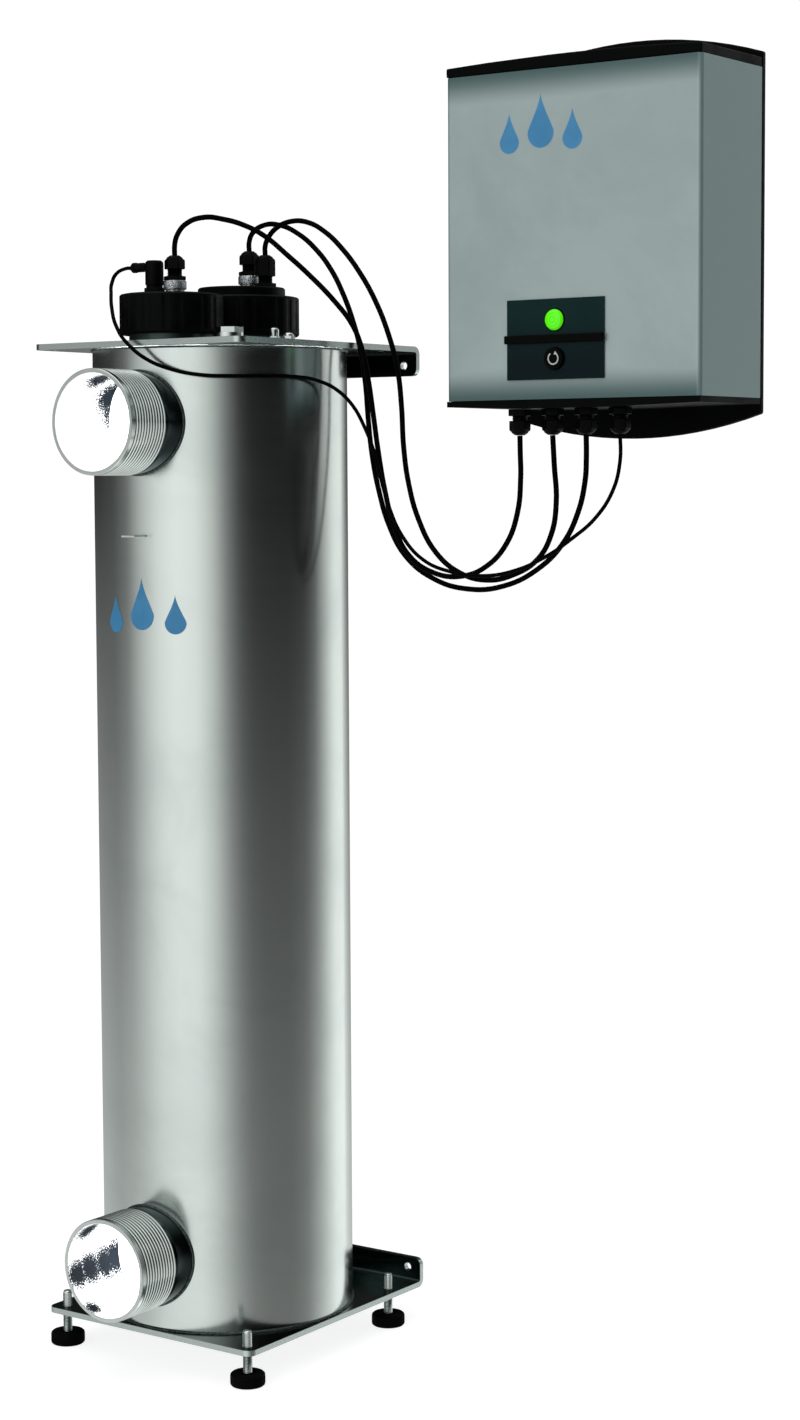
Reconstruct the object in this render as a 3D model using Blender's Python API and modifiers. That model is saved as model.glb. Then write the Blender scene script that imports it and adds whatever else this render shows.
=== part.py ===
"""Salt chlorine generator: a steel reactor on levelling feet, wired to a wall-hung control box.

Units are metres, +Z up. X runs along the wall, +Y points into it. The origin lies on the wall
plane, on the vessel's centre plane, at mid height of the lower wall flange.
Run with: blender --background --python part.py
"""

import math

import bmesh
import bpy
from mathutils import Vector

# ---------------------------------------------------------------- driving dimensions
GAP = 0.0003  # running gap between two pieces that touch on the real object

VESSEL_R = 0.10955  # 219.1 mm pipe
VESSEL_WALL = 0.0025
REACTOR_H = 0.8436  # over both plates
WALL_DISTANCE = 0.1383  # vessel axis to wall

PLATE_T = 0.005
PLATE_HALF_W = 0.1135
PLATE_FRONT = 0.1133  # vessel axis to the plates' front edge
PLATE_CORNER_R = 0.008
FLANGE_H = 0.0257
FLANGE_BEND_R = 0.007
FLANGE_CORNER_R = 0.006
FLANGE_HOLE_X = 0.0998
FLANGE_HOLE_Z = 0.0165  # from the plate's outer face
FLANGE_HOLE_R = 0.0035
FLANGE_MID_Z = 0.0129

FOOT_PITCH = 0.101  # half the spacing of the corner holes
STUD_R = 0.004
STUD_HOLE_R = 0.0043
STUD_TOP = 0.0185
PAD_R = 0.0148
PAD_TOP = -0.0175
PAD_BOTTOM = -0.0286

STUB_Z = {"upper": 0.7753, "lower": 0.0678}
STUB_END = 0.1668  # vessel axis to the stub's rim
STUB_ROOT = 0.098  # vessel axis to the pipe's inner end, before the saddle is cut
STUB_BORE_R = 0.0400
STUB_LIP_R = 0.0424
THREAD_R = 0.0439
THREAD_ROOT_R = 0.0426
THREAD_RIDGES = 12
THREAD_PITCH = 0.0034
THREAD_START = 0.1648

LUG_Z = 0.6813

# Closures on the top plate: centre offset along Y, then radii and heights over the plate's top face
LAMP_Y = -0.064
LAMP_NUT_R = 0.0438
CELL_Y = 0.0305
CELL_NUT_R = 0.0500

# Control box, from its own corner of reference: centre line, wall plane, shell's lower edge
BOX_X = 0.3345
BOX_Z = 0.7915
BOX_HALF_W = 0.1195
BOX_H = 0.2636
BOX_FRONT = 0.1057
SHELL_T = 0.0015
SHELL_BEND_R = 0.004
HOUSING_T = 0.0063
HOUSING_ARC = 0.0188  # rise of its arched top and bottom edges
HOUSING_OVER = 0.0125  # how far its corners stand past the shell
CAP_EDGE_T = {"top": 0.0075, "bottom": 0.0046}
CAP_ARC = {"top": 0.0029, "bottom": 0.0024}

PANEL_X = -0.0130
PANEL_HALF_W = 0.0461
PANEL_Z = (0.0157, 0.0803)
PANEL_T = 0.0012
BAR_Z = 0.0483
BAR_H = 0.0067
BAR_T = 0.0032
LAMP_LENS_Z = 0.0633
BUTTON_Z = 0.0323
BUTTON_R = 0.0089
BUTTON_HOLE_R = 0.0092

BOX_GLAND_X = (-0.0588, -0.0270, 0.0050, 0.0370)
BOX_GLAND_Y = -0.0883
BOX_GLAND_DROP = 0.0073  # tops of the glands' flanges under the shell's lower edge

# Cable glands: half widths across flats of the flange and the nut, radii of the neck and the mouth
GLAND_FLANGE = 0.0085
GLAND_NUT = 0.0080
GLAND_NECK_R = 0.0062
GLAND_MOUTH_R = 0.0042
GLAND_FLANGE_T = 0.0035
GLAND_NUT_FOOT = 0.0093  # from the gland's base

ADAPTER_SIDE_R = 0.0082
ADAPTER_HEAD_R = 0.0098

LEAD_D = 0.0045
SENSOR_LEAD_D = 0.0032

BASE_Z = -FLANGE_MID_Z

# Cord routes, chosen by hand, from the reactor's end to the control box's end
LAMP_LEAD = (
    (0.004, -0.2023, 0.9034), (0.004, -0.202, 0.912), (0.006, -0.201, 0.920),
    (0.013, -0.198, 0.929), (0.029, -0.193, 0.934), (0.044, -0.186, 0.932),
    (0.059, -0.178, 0.927), (0.073, -0.168, 0.918), (0.088, -0.156, 0.902),
    (0.103, -0.143, 0.884), (0.118, -0.131, 0.864), (0.128, -0.119, 0.844),
    (0.132, -0.110, 0.822), (0.135, -0.106, 0.797), (0.139, -0.105, 0.769),
    (0.144, -0.105, 0.738), (0.151, -0.105, 0.704), (0.160, -0.105, 0.675),
    (0.175, -0.105, 0.651), (0.199, -0.105, 0.637), (0.228, -0.105, 0.634),
    (0.254, -0.105, 0.643), (0.271, -0.102, 0.661), (0.278, -0.096, 0.686),
    (0.2775, -0.090, 0.716), (0.276, -0.0883, 0.736), (0.2757, -0.0883, 0.7498),
)
CELL_LEAD = (
    (0.000, -0.0965, 0.9137), (0.000, -0.0965, 0.921), (0.004, -0.0965, 0.929),
    (0.016, -0.096, 0.935), (0.034, -0.096, 0.934), (0.053, -0.096, 0.926),
    (0.072, -0.096, 0.912), (0.089, -0.096, 0.893), (0.102, -0.096, 0.871),
    (0.112, -0.096, 0.848), (0.119, -0.095, 0.823), (0.123, -0.094, 0.795),
    (0.125, -0.093, 0.765), (0.129, -0.093, 0.734), (0.136, -0.093, 0.704),
    (0.146, -0.093, 0.676), (0.163, -0.093, 0.650), (0.192, -0.093, 0.631),
    (0.227, -0.093, 0.623), (0.262, -0.093, 0.626), (0.295, -0.093, 0.640),
    (0.319, -0.092, 0.661), (0.333, -0.091, 0.686), (0.339, -0.089, 0.713),
    (0.3397, -0.0883, 0.733), (0.3395, -0.0883, 0.7498),
)
CELL_RETURN_LEAD = (
    (0.022, -0.102, 0.9089), (0.022, -0.102, 0.916), (0.026, -0.102, 0.924),
    (0.036, -0.102, 0.932), (0.051, -0.102, 0.936), (0.069, -0.102, 0.934),
    (0.087, -0.102, 0.925), (0.105, -0.102, 0.910), (0.122, -0.101, 0.890),
    (0.138, -0.100, 0.865), (0.151, -0.099, 0.836), (0.160, -0.099, 0.807),
    (0.164, -0.099, 0.776), (0.166, -0.099, 0.742), (0.171, -0.099, 0.711),
    (0.181, -0.099, 0.681), (0.198, -0.099, 0.654), (0.222, -0.099, 0.637),
    (0.249, -0.099, 0.631), (0.276, -0.098, 0.636), (0.298, -0.096, 0.649),
    (0.309, -0.093, 0.669), (0.312, -0.090, 0.695), (0.309, -0.0883, 0.726),
    (0.3075, -0.0883, 0.7498),
)
SENSOR_LEAD = (
    (-0.0442, -0.2023, 0.8947), (-0.0500, -0.2027, 0.8946), (-0.0560, -0.207, 0.891),
    (-0.056, -0.214, 0.882), (-0.050, -0.222, 0.872), (-0.038, -0.235, 0.859),
    (-0.018, -0.252, 0.842), (-0.002, -0.259, 0.829), (0.017, -0.257, 0.815),
    (0.037, -0.249, 0.806), (0.059, -0.237, 0.801), (0.080, -0.221, 0.800),
    (0.097, -0.201, 0.800), (0.109, -0.177, 0.800), (0.116, -0.152, 0.797),
    (0.122, -0.132, 0.789), (0.129, -0.120, 0.776), (0.136, -0.114, 0.759),
    (0.143, -0.111, 0.740), (0.150, -0.111, 0.718), (0.159, -0.111, 0.692),
    (0.172, -0.111, 0.668), (0.193, -0.111, 0.648), (0.221, -0.111, 0.638),
    (0.255, -0.111, 0.635), (0.286, -0.111, 0.640), (0.313, -0.109, 0.651),
    (0.336, -0.105, 0.666), (0.355, -0.099, 0.683), (0.367, -0.092, 0.705),
    (0.3713, -0.0883, 0.728), (0.3715, -0.0883, 0.7498),
)


# ---------------------------------------------------------------- scene helpers
def clear_scene():
    for obj in list(bpy.data.objects):
        bpy.data.objects.remove(obj, do_unlink=True)


def collection(name):
    made = bpy.data.collections.new(name)
    bpy.context.scene.collection.children.link(made)
    return made


def material(name, colour, roughness, metallic=0.0, alpha=1.0):
    made = bpy.data.materials.new(name)
    made.use_nodes = True
    shader = made.node_tree.nodes["Principled BSDF"]
    shader.inputs["Base Color"].default_value = (*colour, 1.0)
    shader.inputs["Roughness"].default_value = roughness
    shader.inputs["Metallic"].default_value = metallic
    shader.inputs["Alpha"].default_value = alpha
    return made


def empty(name, location):
    made = bpy.data.objects.new(name, None)
    made.location = location
    PARTS.objects.link(made)
    return made


def place(name, mesh, look, parent=None, at=(0, 0, 0), turn=(0, 0, 0)):
    """Links a mesh as one named part of the assembly, under an empty and with one material."""
    obj = bpy.data.objects.new(name, mesh)
    PARTS.objects.link(obj)
    obj.parent = parent
    obj.location = at
    obj.rotation_euler = turn
    mesh.materials.append(look)
    return obj


def mesh_from(bm, name):
    bmesh.ops.recalc_face_normals(bm, faces=bm.faces)
    mesh = bpy.data.meshes.new(name)
    bm.to_mesh(mesh)
    bm.free()
    return mesh


def cut(obj, cutter):
    """Takes a cutter out of a part with an exact Boolean, and hides the cutter."""
    CUTTERS.objects.link(cutter)
    cutter.hide_render = True
    cutter.display_type = "WIRE"
    boolean = obj.modifiers.new("cut_" + cutter.name, "BOOLEAN")
    boolean.operation = "DIFFERENCE"
    boolean.solver = "EXACT"
    boolean.object = cutter


def cylinder_cutter(name, radius, length, parent, at, turn=(0, 0, 0), sides=32):
    bm = bmesh.new()
    bmesh.ops.create_cone(bm, cap_ends=True, segments=sides, radius1=radius, radius2=radius, depth=length)
    cutter = bpy.data.objects.new(name, mesh_from(bm, name))
    cutter.parent = parent
    cutter.location = at
    cutter.rotation_euler = turn
    return cutter


# ---------------------------------------------------------------- modelling helpers
def turned(name, profile, look, parent, at=(0, 0, 0), turn=(0, 0, 0), steps=32, closed=True):
    """A turned solid: a profile of (radius, height) points swept about local Z by a Screw modifier.

    A closed profile makes a ring; an open one starts and ends on the axis.
    """
    mesh = bpy.data.meshes.new(name)
    points = [(radius, 0.0, height) for radius, height in profile]
    edges = [(i, i + 1) for i in range(len(points) - 1)]
    if closed:
        edges.append((len(points) - 1, 0))
    mesh.from_pydata(points, edges, [])
    obj = place(name, mesh, look, parent, at, turn)
    screw = obj.modifiers.new("turn", "SCREW")
    screw.steps = steps
    screw.render_steps = steps
    screw.use_merge_vertices = True
    screw.merge_threshold = 0.00002
    screw.use_normal_flip = True
    return obj


def outline_slab(name, outline, depth, look, parent, at=(0, 0, 0), turn=(0, 0, 0)):
    """A flat outline in local XY, filled and given its depth along local Z, centred on it."""
    curve = bpy.data.curves.new(name, "CURVE")
    curve.dimensions = "2D"
    curve.fill_mode = "BOTH"
    curve.extrude = depth / 2
    spline = curve.splines.new("POLY")
    spline.points.add(len(outline) - 1)
    for point, (x, y) in zip(spline.points, outline):
        point.co = (x, y, 0.0, 1.0)
    spline.use_cyclic_u = True
    scratch = bpy.data.objects.new(name + "_outline", curve)
    mesh = bpy.data.meshes.new_from_object(scratch)
    bpy.data.objects.remove(scratch)
    bm = bmesh.new()
    bm.from_mesh(mesh)
    bmesh.ops.remove_doubles(bm, verts=bm.verts, dist=0.00001)
    return place(name, mesh_from(bm, name), look, parent, at, turn)


def block(name, size, look, parent, at):
    bm = bmesh.new()
    bmesh.ops.create_cube(bm, size=1.0)
    bmesh.ops.scale(bm, vec=Vector(size), verts=bm.verts)
    return place(name, mesh_from(bm, name), look, parent, at)


def soften(obj, width, segments=2, angle=35.0):
    bevel = obj.modifiers.new("soft_edges", "BEVEL")
    bevel.width = width
    bevel.segments = segments
    bevel.limit_method = "ANGLE"
    bevel.angle_limit = math.radians(angle)
    return obj


def hexed(name, levels, look, parent, at=(0, 0, 0), turn=(0, 0, 0)):
    """A solid of stacked round and hexagonal lengths, such as a gland or a bolt.

    Each level is (height, radius, shape); a hexagon's radius is half its width across flats.
    """
    sides = 24
    bm = bmesh.new()
    rings = []
    for height, radius, shape in levels:
        ring = []
        for k in range(sides):
            angle = math.tau * k / sides
            flat = math.cos((angle + math.pi / 6) % (math.pi / 3) - math.pi / 6) if shape == "hex" else 1.0
            reach = radius / flat
            ring.append(bm.verts.new((reach * math.cos(angle), reach * math.sin(angle), height)))
        rings.append(ring)
    for lower, upper in zip(rings, rings[1:]):
        for k in range(sides):
            after = (k + 1) % sides
            bm.faces.new((lower[k], lower[after], upper[after], upper[k]))
    bm.faces.new(rings[0])
    bm.faces.new(rings[-1])
    return place(name, mesh_from(bm, name), look, parent, at, turn)


def arc(centre, radius, start, end, steps):
    """Points on a circle from one angle to another, in degrees, ends included."""
    angles = [math.radians(start + (end - start) * i / steps) for i in range(steps + 1)]
    return [(centre[0] + radius * math.cos(a), centre[1] + radius * math.sin(a)) for a in angles]


def arched_edge(half_width, edge, rise, steps=16):
    """Points of a shallow arch from +half_width to -half_width, at height edge, edge+rise at its middle."""
    radius = (half_width**2 + rise**2) / (2 * abs(rise))
    points = []
    for i in range(steps + 1):
        x = half_width - 2 * half_width * i / steps
        sag = radius - math.sqrt(radius**2 - x**2)
        points.append((x, edge + rise - math.copysign(sag, rise)))
    return points


def smooth_route(route, count):
    """Evenly spaced points on the smooth curve through a hand-chosen route."""
    points = [Vector(p) for p in route]
    ends = [points[0] * 2 - points[1], *points, points[-1] * 2 - points[-2]]
    dense = []
    for a, b, c, d in zip(ends, ends[1:], ends[2:], ends[3:]):
        slope = c - a
        bow = 2 * a - 5 * b + 4 * c - d
        twist = 3 * b - a - 3 * c + d
        for i in range(12):
            t = i / 12
            dense.append(0.5 * (2 * b + slope * t + bow * t**2 + twist * t**3))
    dense.append(points[-1])
    lengths = [0.0]
    for p, q in zip(dense, dense[1:]):
        lengths.append(lengths[-1] + (q - p).length)
    picked = []
    place_in = 0
    for k in range(count):
        want = lengths[-1] * k / (count - 1)
        while place_in < len(dense) - 2 and lengths[place_in + 1] < want:
            place_in += 1
        share = (want - lengths[place_in]) / (lengths[place_in + 1] - lengths[place_in])
        picked.append(dense[place_in].lerp(dense[place_in + 1], share))
    return picked


def cord(name, route, diameter, look, count):
    """A lead as a round tube along its smooth route."""
    curve = bpy.data.curves.new(name, "CURVE")
    curve.dimensions = "3D"
    curve.bevel_depth = diameter / 2
    curve.bevel_resolution = 2
    curve.use_fill_caps = True
    spline = curve.splines.new("POLY")
    points = smooth_route(route, count)
    spline.points.add(len(points) - 1)
    for point, co in zip(spline.points, points):
        point.co = (*co, 1.0)
    curve.materials.append(look)
    obj = bpy.data.objects.new(name, curve)
    PARTS.objects.link(obj)
    return obj


# ---------------------------------------------------------------- reactor body
def vessel():
    low, high = PLATE_T + GAP, REACTOR_H - PLATE_T - GAP
    inner = VESSEL_R - VESSEL_WALL
    shell = turned(
        "vessel_shell",
        [(inner, low), (VESSEL_R, low), (VESSEL_R, high), (inner, high)],
        STEEL, REACTOR, steps=64,
    )
    for end, z in STUB_Z.items():
        at = (0, -VESSEL_R, z)
        cut(shell, cylinder_cutter(f"{end}_port", STUB_BORE_R, 0.06, REACTOR, at, (math.pi / 2, 0, 0), 36))


def bent_plate(name, outer_z, inward):
    """One pressed square plate with its rear flange, inward +1 for the bottom plate and -1 for the top."""
    outer, inner = 0.0, PLATE_T
    wall = WALL_DISTANCE
    bend = FLANGE_BEND_R
    outline = [(-PLATE_FRONT, outer)]
    outline += arc((wall - bend, bend), bend, -90, 0, 5)
    outline += [(wall, FLANGE_H), (wall - PLATE_T, FLANGE_H)]
    outline += arc((wall - bend, bend), bend - PLATE_T, 0, -90, 4)
    outline += [(-PLATE_FRONT, inner)]
    bm = bmesh.new()
    sheet = bm.faces.new([bm.verts.new((-PLATE_HALF_W, y, outer_z + inward * z)) for y, z in outline])
    side = bmesh.ops.extrude_face_region(bm, geom=[sheet])
    moved = [g for g in side["geom"] if isinstance(g, bmesh.types.BMVert)]
    bmesh.ops.translate(bm, verts=moved, vec=(2 * PLATE_HALF_W, 0, 0))
    round_edges(bm, lambda a, b: abs(a.z - b.z) > PLATE_T / 2 and a.y < 0, PLATE_CORNER_R)
    tip = outer_z + inward * FLANGE_H

    def across_the_tip(a, b):
        return abs(a.y - b.y) > PLATE_T / 2 and abs(a.z - tip) < 1e-5 and a.y > 0

    round_edges(bm, across_the_tip, FLANGE_CORNER_R)
    plate = place(name, mesh_from(bm, name), STEEL, REACTOR)
    for sx in (-1, 1):
        for sy in (-1, 1):
            at = (sx * FOOT_PITCH, sy * FOOT_PITCH, outer_z)
            cut(plate, cylinder_cutter(f"{name}_hole", STUD_HOLE_R, 0.03, REACTOR, at, sides=20))
        at = (sx * FLANGE_HOLE_X, wall, outer_z + inward * FLANGE_HOLE_Z)
        turn = (math.pi / 2, 0, 0)
        cut(plate, cylinder_cutter(f"{name}_wall_hole", FLANGE_HOLE_R, 0.03, REACTOR, at, turn, 20))
    return plate


def round_edges(bm, chosen, radius):
    """Rounds the straight edges that a test picks by their two ends."""
    edges = [
        e for e in bm.edges
        if (e.verts[0].co - e.verts[1].co).length > 1e-6 and chosen(e.verts[0].co, e.verts[1].co)
        and abs(e.verts[0].co.x - e.verts[1].co.x) < 1e-6
    ]
    bmesh.ops.bevel(bm, geom=edges, offset=radius, segments=4, affect="EDGES", profile=0.5)


def plates():
    bent_plate("bottom_plate", 0.0, 1)
    top = bent_plate("top_plate", REACTOR_H, -1)
    for name, y, radius in (("lamp_port", LAMP_Y, 0.0290), ("cell_port", CELL_Y, 0.0350)):
        cut(top, cylinder_cutter(name, radius, 0.03, REACTOR, (0, y, REACTOR_H)))


def stub(end):
    """A threaded pipe stub: rim, thread ridges and a plain root cut to the vessel's curve."""
    profile = [(STUB_BORE_R, STUB_END), (STUB_LIP_R, STUB_END)]
    height = THREAD_START
    profile.append((STUB_LIP_R, height))
    for _ in range(THREAD_RIDGES):
        profile.append((THREAD_R, height - THREAD_PITCH / 2))
        height -= THREAD_PITCH
        profile.append((THREAD_ROOT_R, height))
    profile += [(THREAD_ROOT_R, STUB_ROOT), (STUB_BORE_R, STUB_ROOT)]
    at = (0, 0, STUB_Z[end])
    tube = turned(
        f"{end}_stub", profile[::-1], STEEL, REACTOR, at, turn=(math.pi / 2, 0, 0), steps=32
    )
    cut(tube, cylinder_cutter(f"{end}_saddle", VESSEL_R + GAP, 0.16, REACTOR, at, sides=64))


def earth_lug():
    length, width, thick = 0.0137, 0.0150, 0.0020
    middle = -(VESSEL_R + GAP + 0.0006 + length / 2)
    lug = block("earth_lug", (width, length, thick), STEEL, REACTOR, (0, middle, LUG_Z))
    soften(lug, 0.0006, 1)
    cut(lug, cylinder_cutter("earth_hole", 0.0026, 0.01, REACTOR, (0, middle, LUG_Z), sides=16))


def plate_fittings():
    """The bright fittings that stand on the top plate between the closures and its edges."""
    on_plate = REACTOR_H + GAP
    collar_top, plug_top = 0.0062, 0.0108
    plug = [(0, 0.0118, "round"), (collar_top, 0.0118, "round")]
    plug += [(collar_top, 0.0100, "hex"), (plug_top, 0.0100, "hex")]
    hexed("vent_plug", plug, STEEL, REACTOR, (0.0568, -0.0568, on_plate))
    nut_t, chamfer = 0.0050, 0.0012
    for name, x, y, height in (
        ("plate_stud_left", -0.0768, -0.0020, 0.0121),
        ("plate_stud_right", 0.0600, -0.0008, 0.0121),
        ("plate_screw", 0.0748, 0.0004, 0.0075),
    ):
        levels = [(0, 0.0046, "hex"), (nut_t, 0.0046, "hex"), (nut_t, 0.0042, "round")]
        levels += [(height - chamfer, 0.0042, "round"), (height, 0.0030, "round")]
        hexed(name, levels, STEEL, REACTOR, (x, y, on_plate))


# ---------------------------------------------------------------- closures, lamp and cell
def closure(name, y, nut_r, nut_z, neck_r, boss_r, boss_top):
    """A threaded neck, its seal, the head that it holds and the ring nut that clamps the head."""
    neck_top, seal_top = 0.0262, 0.0292
    flange_top = seal_top + GAP + 0.0035
    shelf = flange_top + GAP
    bore = neck_r - 0.0055
    base = (0, y, REACTOR_H)
    neck = [(bore, GAP), (neck_r, GAP), (neck_r, neck_top), (bore, neck_top)]
    turned(f"{name}_neck", neck, STEEL, REACTOR, base)
    low, high = neck_top + GAP, seal_top
    near, far = bore + 0.001, neck_r - 0.001
    turned(f"{name}_seal", [(near, low), (far, low), (far, high), (near, high)], RUBBER, REACTOR, base)
    low = seal_top + GAP
    turned(
        f"{name}_head",
        [(0, low), (neck_r, low), (neck_r, flange_top), (boss_r, flange_top), (boss_r, boss_top - 0.001),
         (boss_r - 0.001, boss_top), (0, boss_top)],
        BLACK, REACTOR, base, closed=False,
    )
    bottom, top = nut_z
    edge = 0.0012
    return turned(
        f"{name}_ring_nut",
        [(neck_r + GAP, bottom), (nut_r - edge, bottom), (nut_r, bottom + edge), (nut_r, top - edge),
         (nut_r - edge, top), (boss_r + GAP, top), (boss_r + GAP, shelf), (neck_r + GAP, shelf)],
        BLACK, REACTOR, base, steps=48,
    )


def ultraviolet_lamp():
    """The quartz sleeve that keeps the water off, with the lamp inside it."""
    top = REACTOR_H + 0.0285
    foot = 0.0600
    radius, wall = 0.0120, 0.0013
    outer = [(0, foot), (radius * 0.7, foot + 0.003), (radius, foot + 0.012), (radius, top)]
    inner = [(radius - wall, top), (radius - wall, foot + 0.013)]
    inner += [(radius * 0.62, foot + 0.0045), (0, foot + wall)]
    turned("quartz_sleeve", outer + inner, GLASS, REACTOR, (0, LAMP_Y, 0), steps=20, closed=False)
    turned(
        "uv_lamp", [(0, foot + 0.02), (0.0078, foot + 0.022), (0.0078, top - 0.003), (0, top - 0.002)],
        LAMP_WHITE, REACTOR, (0, LAMP_Y, 0), steps=16, closed=False,
    )


def electrode_cell():
    """Coated titanium plates that hang from a holder under the cell's head."""
    hang = REACTOR_H + 0.0290
    holder_low = REACTOR_H - 0.0300
    turned(
        "electrode_holder", [(0, holder_low), (0.0300, holder_low), (0.0300, hang), (0, hang)],
        BLACK, REACTOR, (0, CELL_Y, 0), closed=False,
    )
    height = 0.2600
    for i in range(3):
        y = CELL_Y + (i - 1) * 0.0110
        at = (0, y, holder_low - GAP - height / 2)
        block(f"electrode_plate_{i + 1}", (0.0480, 0.0015, height), TITANIUM, REACTOR, at)


def reactor_glands():
    """Glands and the elbow plug on the two heads, with bright adapters under two of them."""
    def gland(name, x, y, base, height):
        flange_top, nut_foot = base + GLAND_FLANGE_T, base + GLAND_NUT_FOOT
        top = base + height
        levels = [(base, GLAND_FLANGE, "hex"), (flange_top, GLAND_FLANGE, "hex")]
        levels += [(flange_top, GLAND_NECK_R, "round"), (nut_foot, GLAND_NECK_R, "round")]
        levels += [(nut_foot, GLAND_NUT, "hex"), (top - 0.0045, GLAND_NUT, "hex")]
        levels += [(top - 0.0022, 0.0068, "round"), (top, GLAND_MOUTH_R, "round")]
        hexed(name, levels, BLACK, REACTOR, (x, y, REACTOR_H))

    def adapter(name, x, y, low, high):
        step = low + (high - low) / 3
        levels = [(low, ADAPTER_SIDE_R, "round"), (step, ADAPTER_SIDE_R, "round")]
        levels += [(step, ADAPTER_HEAD_R, "round"), (high, ADAPTER_HEAD_R, "round")]
        hexed(name, levels, CHROMED, REACTOR, (x, y, REACTOR_H))

    lamp_x, cell_y = 0.004, 0.0418
    adapter("lamp_gland_adapter", lamp_x, LAMP_Y, 0.0403, 0.0512)
    adapter("cell_gland_adapter", 0, cell_y, 0.0503, 0.0612)
    gland("lamp_gland", lamp_x, LAMP_Y, 0.0515, 0.0208)
    gland("cell_gland", 0, cell_y, 0.0615, 0.0212)
    gland("cell_return_gland", 0.022, 0.0363, 0.0503, 0.0276)

    elbow_x, post_flats, post_r = -0.0185, 0.0080, 0.0078
    post = [(0.0403, post_flats, "hex"), (0.0463, post_flats, "hex"), (0.0463, post_r, "round")]
    post += [(0.0668, post_r, "round"), (0.0691, 0.0060, "round")]
    hexed("sensor_elbow", post, BLACK, REACTOR, (elbow_x, LAMP_Y, REACTOR_H))
    plug_r, plug_nut = 0.0038, 0.0045
    reach = [(0.0081, plug_r, "round"), (0.0195, plug_r, "round")]
    reach += [(0.0195, plug_nut, "hex"), (0.0232, plug_nut, "hex"), (0.0252, 0.0028, "round")]
    at = (elbow_x, LAMP_Y, REACTOR_H + 0.0640)
    hexed("sensor_plug", reach, BLACK, REACTOR, at, (0, -math.pi / 2, 0))


def levelling_feet():
    """Each foot is a threaded stud with a rubber pad, on its own empty in its corner hole."""
    corners = {"front_left": (-1, -1), "front_right": (1, -1), "rear_left": (-1, 1), "rear_right": (1, 1)}
    foot, tip, edge = PAD_TOP + GAP, 0.0010, 0.0020
    stud = [(0, foot), (STUD_R, foot), (STUD_R, STUD_TOP - tip), (STUD_R - tip, STUD_TOP), (0, STUD_TOP)]
    pad = [(0, PAD_BOTTOM), (PAD_R - edge, PAD_BOTTOM), (PAD_R, PAD_BOTTOM + edge)]
    pad += [(PAD_R, PAD_TOP - edge), (PAD_R - edge, PAD_TOP), (0, PAD_TOP)]
    for corner, (sx, sy) in corners.items():
        spot = empty(f"foot_{corner}", (sx * FOOT_PITCH, sy * FOOT_PITCH, 0))
        spot.parent = REACTOR
        turned(f"foot_stud_{corner}", stud, STEEL, spot, steps=20, closed=False)
        turned(f"foot_pad_{corner}", pad, RUBBER, spot, steps=24, closed=False)


# ---------------------------------------------------------------- control box
def front_shell():
    """The folded sheet cover: front and both sides, with holes for the lamp and the button."""
    back = -HOUSING_T - GAP
    half, front, bend = BOX_HALF_W, -BOX_FRONT, SHELL_BEND_R
    plan = [(-half, back)]
    plan += arc((-half + bend, front + bend), bend, 180, 270, 4)
    plan += arc((half - bend, front + bend), bend, 270, 360, 4)
    plan += [(half, back)]
    bm = bmesh.new()
    lower = [bm.verts.new((x, y, 0)) for x, y in plan]
    edges = [bm.edges.new(pair) for pair in zip(lower, lower[1:])]
    walls = bmesh.ops.extrude_edge_only(bm, edges=edges)
    raised = [g for g in walls["geom"] if isinstance(g, bmesh.types.BMVert)]
    bmesh.ops.translate(bm, verts=raised, vec=(0, 0, BOX_H))
    mesh = bpy.data.meshes.new("front_shell")
    bm.to_mesh(mesh)
    bm.free()
    shell = place("front_shell", mesh, BOX_GREY, BOX)
    sheet = shell.modifiers.new("sheet", "SOLIDIFY")
    sheet.thickness = SHELL_T
    sheet.offset = inward_offset(mesh)
    for name, z in (("lens_hole", LAMP_LENS_Z), ("button_hole", BUTTON_Z)):
        cut(shell, facing_cutter(name, (PANEL_X, -BOX_FRONT, z)))


def inward_offset(mesh):
    """The Solidify offset that grows the sheet into the box, whichever way its faces point."""
    front = max(mesh.polygons, key=lambda face: face.area)
    return -1.0 if front.normal.y < 0 else 1.0


def facing_cutter(name, at):
    return cylinder_cutter(name, BUTTON_HOLE_R, 0.02, BOX, at, (math.pi / 2, 0, 0), 28)


def end_cap(end):
    """A black cap that closes the shell's top or bottom, a little arched across its width."""
    sign = 1 if end == "top" else -1
    near = BOX_H + GAP if end == "top" else -GAP
    edge = near + sign * CAP_EDGE_T[end]
    outline = arched_edge(BOX_HALF_W, edge, sign * CAP_ARC[end], 12)
    outline += [(-BOX_HALF_W, near), (BOX_HALF_W, near)]
    depth = BOX_FRONT - HOUSING_T - GAP
    middle = -(BOX_FRONT + HOUSING_T + GAP) / 2
    cap = outline_slab(f"{end}_cap", outline, depth, BLACK, BOX, (0, middle, 0), (math.pi / 2, 0, 0))
    if end == "bottom":
        for i, x in enumerate(BOX_GLAND_X):
            at = (x, BOX_GLAND_Y, -0.004)
            cut(cap, cylinder_cutter(f"gland_way_{i + 1}", 0.0045, 0.02, BOX, at, sides=16))


def rear_housing():
    """The black back plate with its arched top and bottom edges, flat against the wall."""
    outline = arched_edge(BOX_HALF_W, BOX_H + HOUSING_OVER, HOUSING_ARC)
    outline += [(x, z) for x, z in reversed(arched_edge(BOX_HALF_W, -HOUSING_OVER, -HOUSING_ARC))]
    at = (0, -HOUSING_T / 2, 0)
    outline_slab("rear_housing", outline, HOUSING_T, BLACK, BOX, at, (math.pi / 2, 0, 0))


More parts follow.
